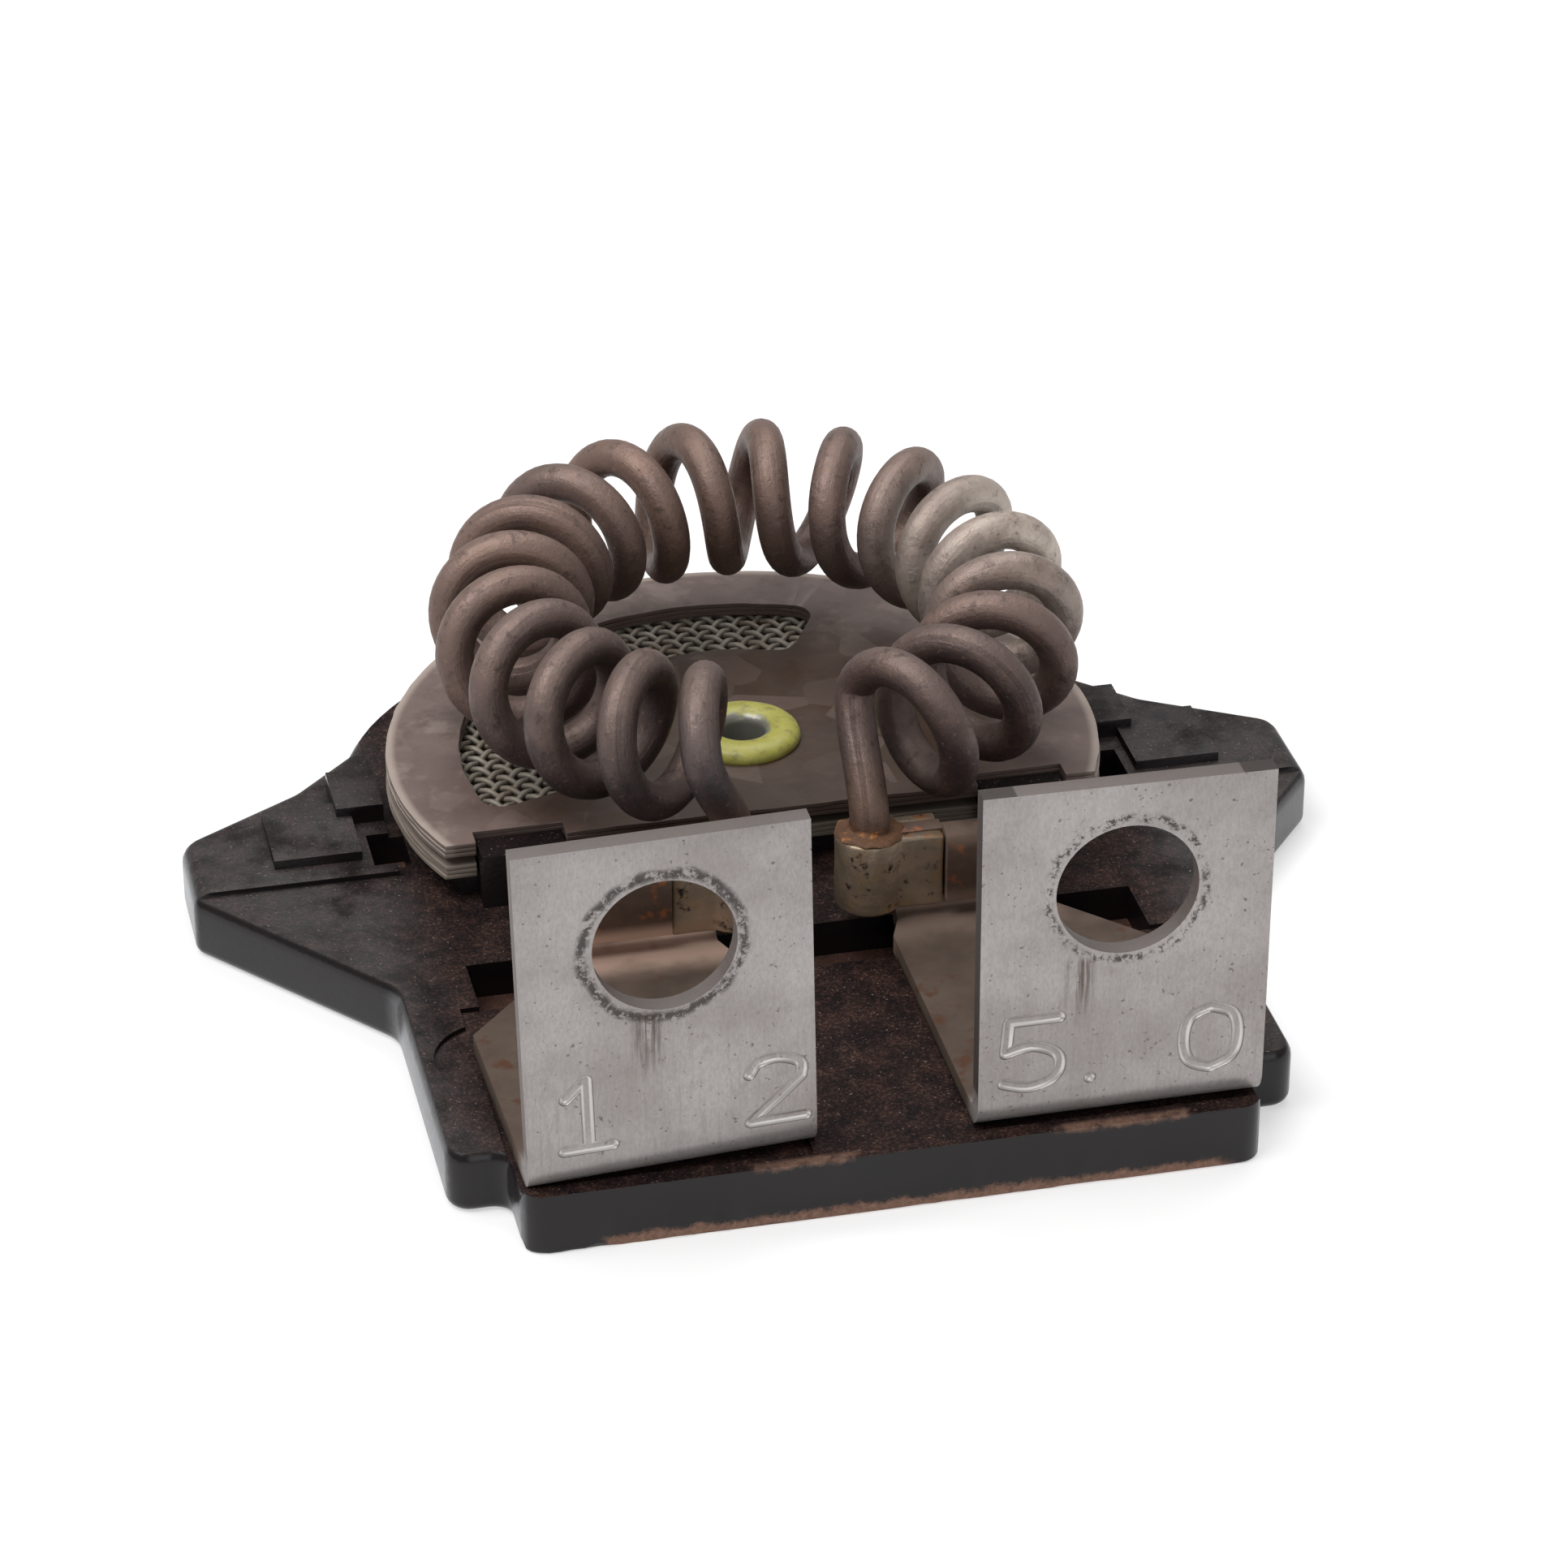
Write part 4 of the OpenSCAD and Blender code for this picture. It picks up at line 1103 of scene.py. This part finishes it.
def buildDisc(node, name, dark, hasWindow):
    low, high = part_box(node)
    count, gap = disc["plies"], disc["plyGap"] * mm
    work = bmesh.new()
    each = (high.z - low.z - gap * (count - 1)) / count
    for ply in range(count):
        seed = ply * 7.7 + (50 if dark else 0)
        outlines = [discOutline(disc["radius"] - 0.02 * ply, seed, disc["ragged"] * (1 + ply * 0.6)),
                    circleOutline(disc["hole"], 48)]
        if hasWindow:
            outlines.append(windowOutline(seed, disc["ragged"]))
        bottom = low.z + ply * (each + gap)
        plate(work, outlines, bottom, bottom + each, discAxis)
    bmesh.ops.recalc_face_normals(work, faces=work.faces)
    mesh = bpy.data.meshes.new(name)
    work.to_mesh(mesh)
    work.free()
    piece = addObject(name, mesh)
    mesh.materials.append(pressedMica("pressed mica " + ("lower" if dark else "upper"), dark))
    bevelPiece(piece, 0.03, 1, 50)
    smoothPiece(piece, 40)
    finishPiece(piece, node)
    print(name, len(piece.data.polygons), "faces")


# woven screen

screen = {
    "pitch": 0.62,             # mm between wires
    "wireR": 0.125,
    "crimp": 0.075,            # how far each wire rises and falls
    "turned": 45,              # weave runs across the disc, degrees
    "sides": 5,
    "perPitch": 4,
    "margin": 0.4,             # kept inside the discs' outline
}


def weaveTree(material):
    # one set of parallel wires, bent over and under, trimmed to the disc
    tree = bpy.data.node_groups.new("woven wires", "GeometryNodeTree")
    add = partial(addNode, tree)
    sockets = {}
    for name, kind in (("Geometry", "Geometry"), ("Size", "Float"), ("Wires", "Int"), ("Points", "Int"),
                       ("Pitch", "Float"), ("Crimp", "Float"), ("Wire radius", "Float"), ("Sides", "Int"),
                       ("Outline", "Float"), ("Hole", "Float"), ("Chord", "Float"), ("Turned", "Float"),
                       ("Centre", "Vector")):
        sockets[name] = tree.interface.new_socket(
            name=name, in_out="INPUT", socket_type="NodeSocket" + kind)
    tree.interface.new_socket(name="Cloth", in_out="OUTPUT", socket_type="NodeSocketGeometry")
    entry = add("NodeGroupInput").node.outputs
    sets = []
    for quarter in (0, 1):
        # wires stand along Y in the grid
        grid = add("GeometryNodeMeshGrid", {"Size X": entry["Size"], "Size Y": entry["Size"],
            "Vertices X": entry["Wires"], "Vertices Y": entry["Points"]})
        ends = add("GeometryNodeInputMeshEdgeVertices").node.outputs
        span = add("VectorMath", [ends["Position 1"], ends["Position 2"]], operation="SUBTRACT")
        spanX = add("SeparateXYZ", [span], out="X")
        across = add("Math", [add("Math", [spanX], operation="ABSOLUTE"), 0.05 * mm],
            operation="GREATER_THAN")
        lines = add("GeometryNodeDeleteGeometry", {"Geometry": grid, "Selection": across}, domain="EDGE",
            mode="EDGE_FACE")
        spot = add("SeparateXYZ", [add("GeometryNodeInputPosition")]).node.outputs
        crossing = add("Math", [spot["X"], spot["Y"]], operation="ADD")
        crossing = add("Math", [crossing, entry["Pitch"]], operation="DIVIDE")
        phase = add("Math", [crossing, math.pi], operation="MULTIPLY")
        wave = add("Math", [add("Math", [phase], operation="COSINE"), entry["Crimp"]], operation="MULTIPLY")
        wave = add("Math", [wave, 1 if quarter == 0 else -1], operation="MULTIPLY")
        lifted = add("CombineXYZ", {2: wave})
        bent = add("GeometryNodeSetPosition", {"Geometry": lines, "Offset": lifted})
        if quarter:
            # mirrored across the diagonal, so both sets cross at the same points
            swapped = add("CombineXYZ", [spot["Y"], spot["X"], spot["Z"]])
            bent = add("GeometryNodeSetPosition", {"Geometry": bent, "Position": swapped})
        turn = add("CombineXYZ", {2: entry["Turned"]})
        turned = add("GeometryNodeTransform", {"Geometry": bent, "Rotation": turn})
        sets.append(turned)
    both = tree.nodes.new("GeometryNodeJoinGeometry")
    for made in sets:
        tree.links.new(made, both.inputs[0])
    # trim to the disc: outside the circle, in front of the chord, inside the eyelet hole
    place = add("GeometryNodeInputPosition")
    flat = add("VectorMath", [place, (1, 1, 0)], operation="MULTIPLY")
    away = add("VectorMath", [flat], out="Value", operation="LENGTH")
    behind = add("SeparateXYZ", [place], out="Y")
    outside = add("Math", [away, entry["Outline"]], operation="GREATER_THAN")
    inHole = add("Math", [away, entry["Hole"]], operation="LESS_THAN")
    inFront = add("Math", [behind, entry["Chord"]], operation="LESS_THAN")
    drop = add("Math", [add("Math", [outside, inHole], operation="MAXIMUM"), inFront], operation="MAXIMUM")
    trimmed = add("GeometryNodeDeleteGeometry", {"Geometry": both.outputs[0], "Selection": drop},
        domain="POINT")
    curve = add("GeometryNodeMeshToCurve", [trimmed])
    ring = add("GeometryNodeCurvePrimitiveCircle", {"Resolution": entry["Sides"],
        "Radius": entry["Wire radius"]})
    swept = add("GeometryNodeCurveToMesh", {"Fill Caps": True, "Curve": curve, "Profile Curve": ring})
    smooth = add("GeometryNodeSetShadeSmooth", [swept])
    moved = add("GeometryNodeTransform", {"Geometry": smooth, "Translation": entry["Centre"]})
    real = add("GeometryNodeRealizeInstances", [moved])
    dressed = add("GeometryNodeSetMaterial", {"Material": material, "Geometry": real})
    add("NodeGroupOutput", [dressed])
    return tree, sockets


def buildScreen():
    low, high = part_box("mesh_screen")
    material = wovenScreen()
    mesh = bpy.data.meshes.new("MeshScreen")
    piece = addObject("MeshScreen", mesh)
    tree, sockets = weaveTree(material)
    half = int(disc["radius"] / screen["pitch"]) + 1
    size = 2 * half * screen["pitch"] * mm
    values = {
        "Size": size, "Wires": 2 * half + 1, "Points": 2 * half * screen["perPitch"] + 1,
        "Pitch": screen["pitch"] * mm, "Crimp": screen["crimp"] * mm, "Wire radius": screen["wireR"] * mm,
        "Sides": screen["sides"], "Outline": (disc["radius"] - screen["margin"]) * mm, "Hole": 1.7 * mm,
        "Chord": -(disc["chord"] - disc["notchD"] - screen["margin"]) * mm,
        "Turned": math.radians(screen["turned"]),
        "Centre": (discAxis.x, discAxis.y, (low.z + high.z) / 2),
    }
    runTree(piece, tree, sockets, values, material)
    finishPiece(piece, "mesh_screen")
    print("woven screen:", len(piece.data.polygons), "faces")


# eyelet, washer and rivets

washer = {"bore": 1.55, "steps": 72}
eyelet = {"bore": 0.9, "barrel": 1.5, "flange": 2.35, "flangeH": 0.6, "foot": 2.1, "steps": 72}
rivet = {"shank": 1.3, "head": 2.2, "headH": 0.7, "tail": 2.0, "tailH": 0.8, "steps": 56}


def buildEyelet():
    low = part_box("centre_eyelet")[0]
    top = (discTop - low.z) / mm
    bore, barrel, flange, foot = eyelet["bore"], eyelet["barrel"], eyelet["flange"], eyelet["foot"]
    profile = [(bore, 0.15), (bore + 0.12, 0.03), (foot - 0.15, 0), (foot, 0.12), (foot, 0.38),
               (foot - 0.12, 0.5), (barrel, 0.5), (barrel, top), (flange - 0.04, top)]
    middle, half = (flange + bore) / 2, (flange - bore) / 2
    for i in range(17):
        a = math.pi * i / 16
        squash = max(0, math.sin(a)) ** 0.8
        profile.append((middle + half * math.cos(a), top + 0.08 + (eyelet["flangeH"] - 0.08) * squash))
    vertices, faces = lathe(profile, (discAxis.x, discAxis.y, low.z), eyelet["steps"], 0.012)
    piece = meshPiece("CentreEyelet", vertices, faces, yellowPaint(), 40)
    turnOut(piece)
    finishPiece(piece, "centre_eyelet")


def turnOut(piece):
    work = bmesh.new()
    work.from_mesh(piece.data)
    bmesh.ops.recalc_face_normals(work, faces=work.faces)
    work.to_mesh(piece.data)
    work.free()


def buildWasher(material):
    low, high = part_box("eyelet_washer")
    thick = (high.z - low.z) / mm
    inner, outer = washer["bore"], (high.x - low.x) / 2 / mm
    profile = [(inner, 0.06), (inner + 0.06, 0), (outer - 0.1, 0), (outer - 0.03, 0.03), (outer, 0.1),
               (outer, thick - 0.06), (outer - 0.06, thick), (inner + 0.06, thick), (inner, thick - 0.06)]
    vertices, faces = lathe(profile, (discAxis.x, discAxis.y, low.z), washer["steps"])
    piece = meshPiece("EyeletWasher", vertices, faces, material, 40)
    turnOut(piece)
    finishPiece(piece, "eyelet_washer")


def buildRivet(side, material):
    node = side + "_rivet"
    low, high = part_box(node)
    tall = (high.z - low.z) / mm
    head, tail, shank = rivet["head"], rivet["tail"], rivet["shank"]
    under = tall - rivet["headH"]
    tailTop = rivet["tailH"] - 0.1
    profile = [(0.02, 0.12), (0.7, 0.1), (0.85, 0), (tail - 0.2, 0), (tail - 0.05, 0.06), (tail, 0.2),
               (tail, tailTop - 0.08), (tail - 0.08, tailTop), (shank, tailTop), (shank, under),
               (head - 0.05, under), (head, under + 0.05), (head, under + 0.2)]
    for i in range(1, 9):
        a = math.pi / 2 * i / 9
        profile.append((head * math.cos(a) ** 0.8, under + 0.2 + (rivet["headH"] - 0.2) * math.sin(a)))
    profile.append((0.02, tall))
    centre = ((low.x + high.x) / 2, (low.y + high.y) / 2, low.z)
    vertices, faces = lathe(profile, centre, rivet["steps"], 0.01)
    piece = meshPiece(side.capitalize() + "Rivet", vertices, faces, material, 40)
    turnOut(piece)
    finishPiece(piece, node)


# crimps and braze

crimp = {"edge": 0.14, "dent": 0.07}


def buildCrimp(side, material):
    node = side + "_crimp"
    piece = copyNode(node, side.capitalize() + "Crimp", material)
    bevelPiece(piece, crimp["edge"], 3, 40)
    work = bmesh.new()
    work.from_mesh(piece.data)
    longEdges = [e for e in work.edges if e.calc_length() > 0.8 * mm]
    bmesh.ops.subdivide_edges(work, edges=longEdges, cuts=4, use_grid_fill=True)
    work.normal_update()
    for vertex in work.verts:
        push = noise.noise(vertex.co * 620) * crimp["dent"] * mm
        vertex.co -= vertex.normal * abs(push)
    bmesh.ops.triangulate(work, faces=[f for f in work.faces if len(f.verts) > 4])
    work.to_mesh(piece.data)
    work.free()
    smoothPiece(piece, 45)
    finishPiece(piece, node)


def buildBraze(side, material):
    node = side + "_braze"
    low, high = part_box(node)
    tall = (high.z - low.z) / mm
    outer = (high.x - low.x) / 2 / mm
    inner = coil["wireR"] + 0.01
    profile = [(inner, 0.0), (outer - 0.2, 0.0), (outer - 0.16, 0.05), (outer - 0.22, 0.13),
               (outer - 0.4, 0.2), (inner + 0.16, 0.24), (inner + 0.06, tall * 0.7), (inner, tall * 0.9)]
    centre = ((low.x + high.x) / 2, (low.y + high.y) / 2, low.z)
    vertices, faces = lathe(profile, centre, 64)
    lumpy = []
    for v in vertices:
        spot = Vector(v)
        away = Vector((spot.x - centre[0], spot.y - centre[1], 0))
        if away.length > (inner + 0.05) * mm:
            spot -= away.normalized() * abs(noise.noise(spot * 1100)) * 0.35 * mm
            spot.z -= abs(noise.noise(spot * 1500)) * 0.12 * mm if spot.z > low.z + 0.04 * mm else 0
        lumpy.append(spot)
    piece = meshPiece(side.capitalize() + "Braze", lumpy, faces, material, 60)
    turnOut(piece)
    finishPiece(piece, node)


# stage, light and camera

studio = {
    "floor": "#C2C2C2",
    "glow": 0.5,
    "lens": 121.1,
    "eye": (-38.88, -175.72, 110.11),
    "target": (1.764, 5.276, 2.5),
    "roll": -0.152,
    "world": 0.32,
    "tent": 1.0,
}


def softBox(name, place, target, size, power, colour="#FFFFFF"):
    light = bpy.data.lights.new(name, "AREA")
    light.shape = "RECTANGLE"
    light.size, light.size_y = size
    light.energy = power
    light.color = hexColour(colour)[:3]
    lamp = addObject(name, light)
    lamp.location = Vector(place)
    lamp.rotation_euler = (Vector(target) - Vector(place)).to_track_quat("-Z", "Y").to_euler()


def buildStage():
    work = bmesh.new()
    bmesh.ops.create_grid(work, x_segments=4, y_segments=4, size=3)
    mesh = bpy.data.meshes.new("Floor")
    work.to_mesh(mesh)
    work.free()
    floor = addObject("Floor", mesh)
    # opal acrylic, lit a little from below so that shadows stay faint
    material, tree, shader, place = newMaterial("opal acrylic floor", 0.9)
    add = partial(addNode, tree)
    shade = mottled(add, place, 60, studio["floor"], "#C6C6C6", 2)
    tree.links.new(shade, shader.inputs["Base Color"])
    shader.inputs["Specular IOR Level"].default_value = 0.1
    shader.inputs["Emission Color"].default_value = hexColour("#FFFFFF")
    shader.inputs["Emission Strength"].default_value = studio["glow"]
    mesh.materials.append(material)
    world = bpy.data.worlds.new("light tent")
    bpy.context.scene.world = world
    world.use_nodes = True
    background = world.node_tree.nodes["Background"]
    background.inputs["Color"].default_value = hexColour("#FFFFFF")
    # the tent looks white to the camera and lights the scene more softly
    seen = addNode(world.node_tree, "LightPath", out="Is Camera Ray")
    strength = addNode(world.node_tree, "MapRange", {0: seen, 3: studio["world"], 4: studio["tent"]})
    world.node_tree.links.new(strength, background.inputs["Strength"])
    softBox("key", (-0.22, -0.05, 0.42), (0, 0, 0), (0.32, 0.32), 1.7)
    softBox("back", (0.12, 0.26, 0.5), (0, 0, 0), (0.4, 0.25), 1.0)
    softBox("front fill", (0.1, -0.5, 0.2), (0, 0, 0), (0.4, 0.3), 0.5)
    bpy.context.scene.view_settings.view_transform = "Standard"


def buildCamera():
    data = bpy.data.cameras.new("camera")
    data.lens = studio["lens"]
    data.sensor_width = 36
    data.clip_start = 0.01
    data.clip_end = 10
    camera = addObject("camera", data)
    eye, target = Vector(studio["eye"]) * mm, Vector(studio["target"]) * mm
    turn = (target - eye).to_track_quat("-Z", "Y").to_matrix().to_4x4()
    roll = Matrix.Rotation(math.radians(studio["roll"]), 4, "Z")
    camera.matrix_world = Matrix.Translation(eye) @ turn @ roll
    bpy.context.scene.camera = camera


buildCamera()
buildStage()
print("stage ready")
buildBase()
buildTerminal("left")
buildTerminal("right")
buildCoil()
buildDisc("upper_disc", "UpperDisc", False, True)
buildDisc("lower_disc", "LowerDisc", True, False)
buildScreen()
buildEyelet()
steel = dullSteel()
buildWasher(steel)
strip = stainedStrip()
alloy = brazingAlloy()
for handSide in ("left", "right"):
    buildRivet(handSide, steel)
    buildCrimp(handSide, strip)
    buildBraze(handSide, alloy)
print("small parts ready")
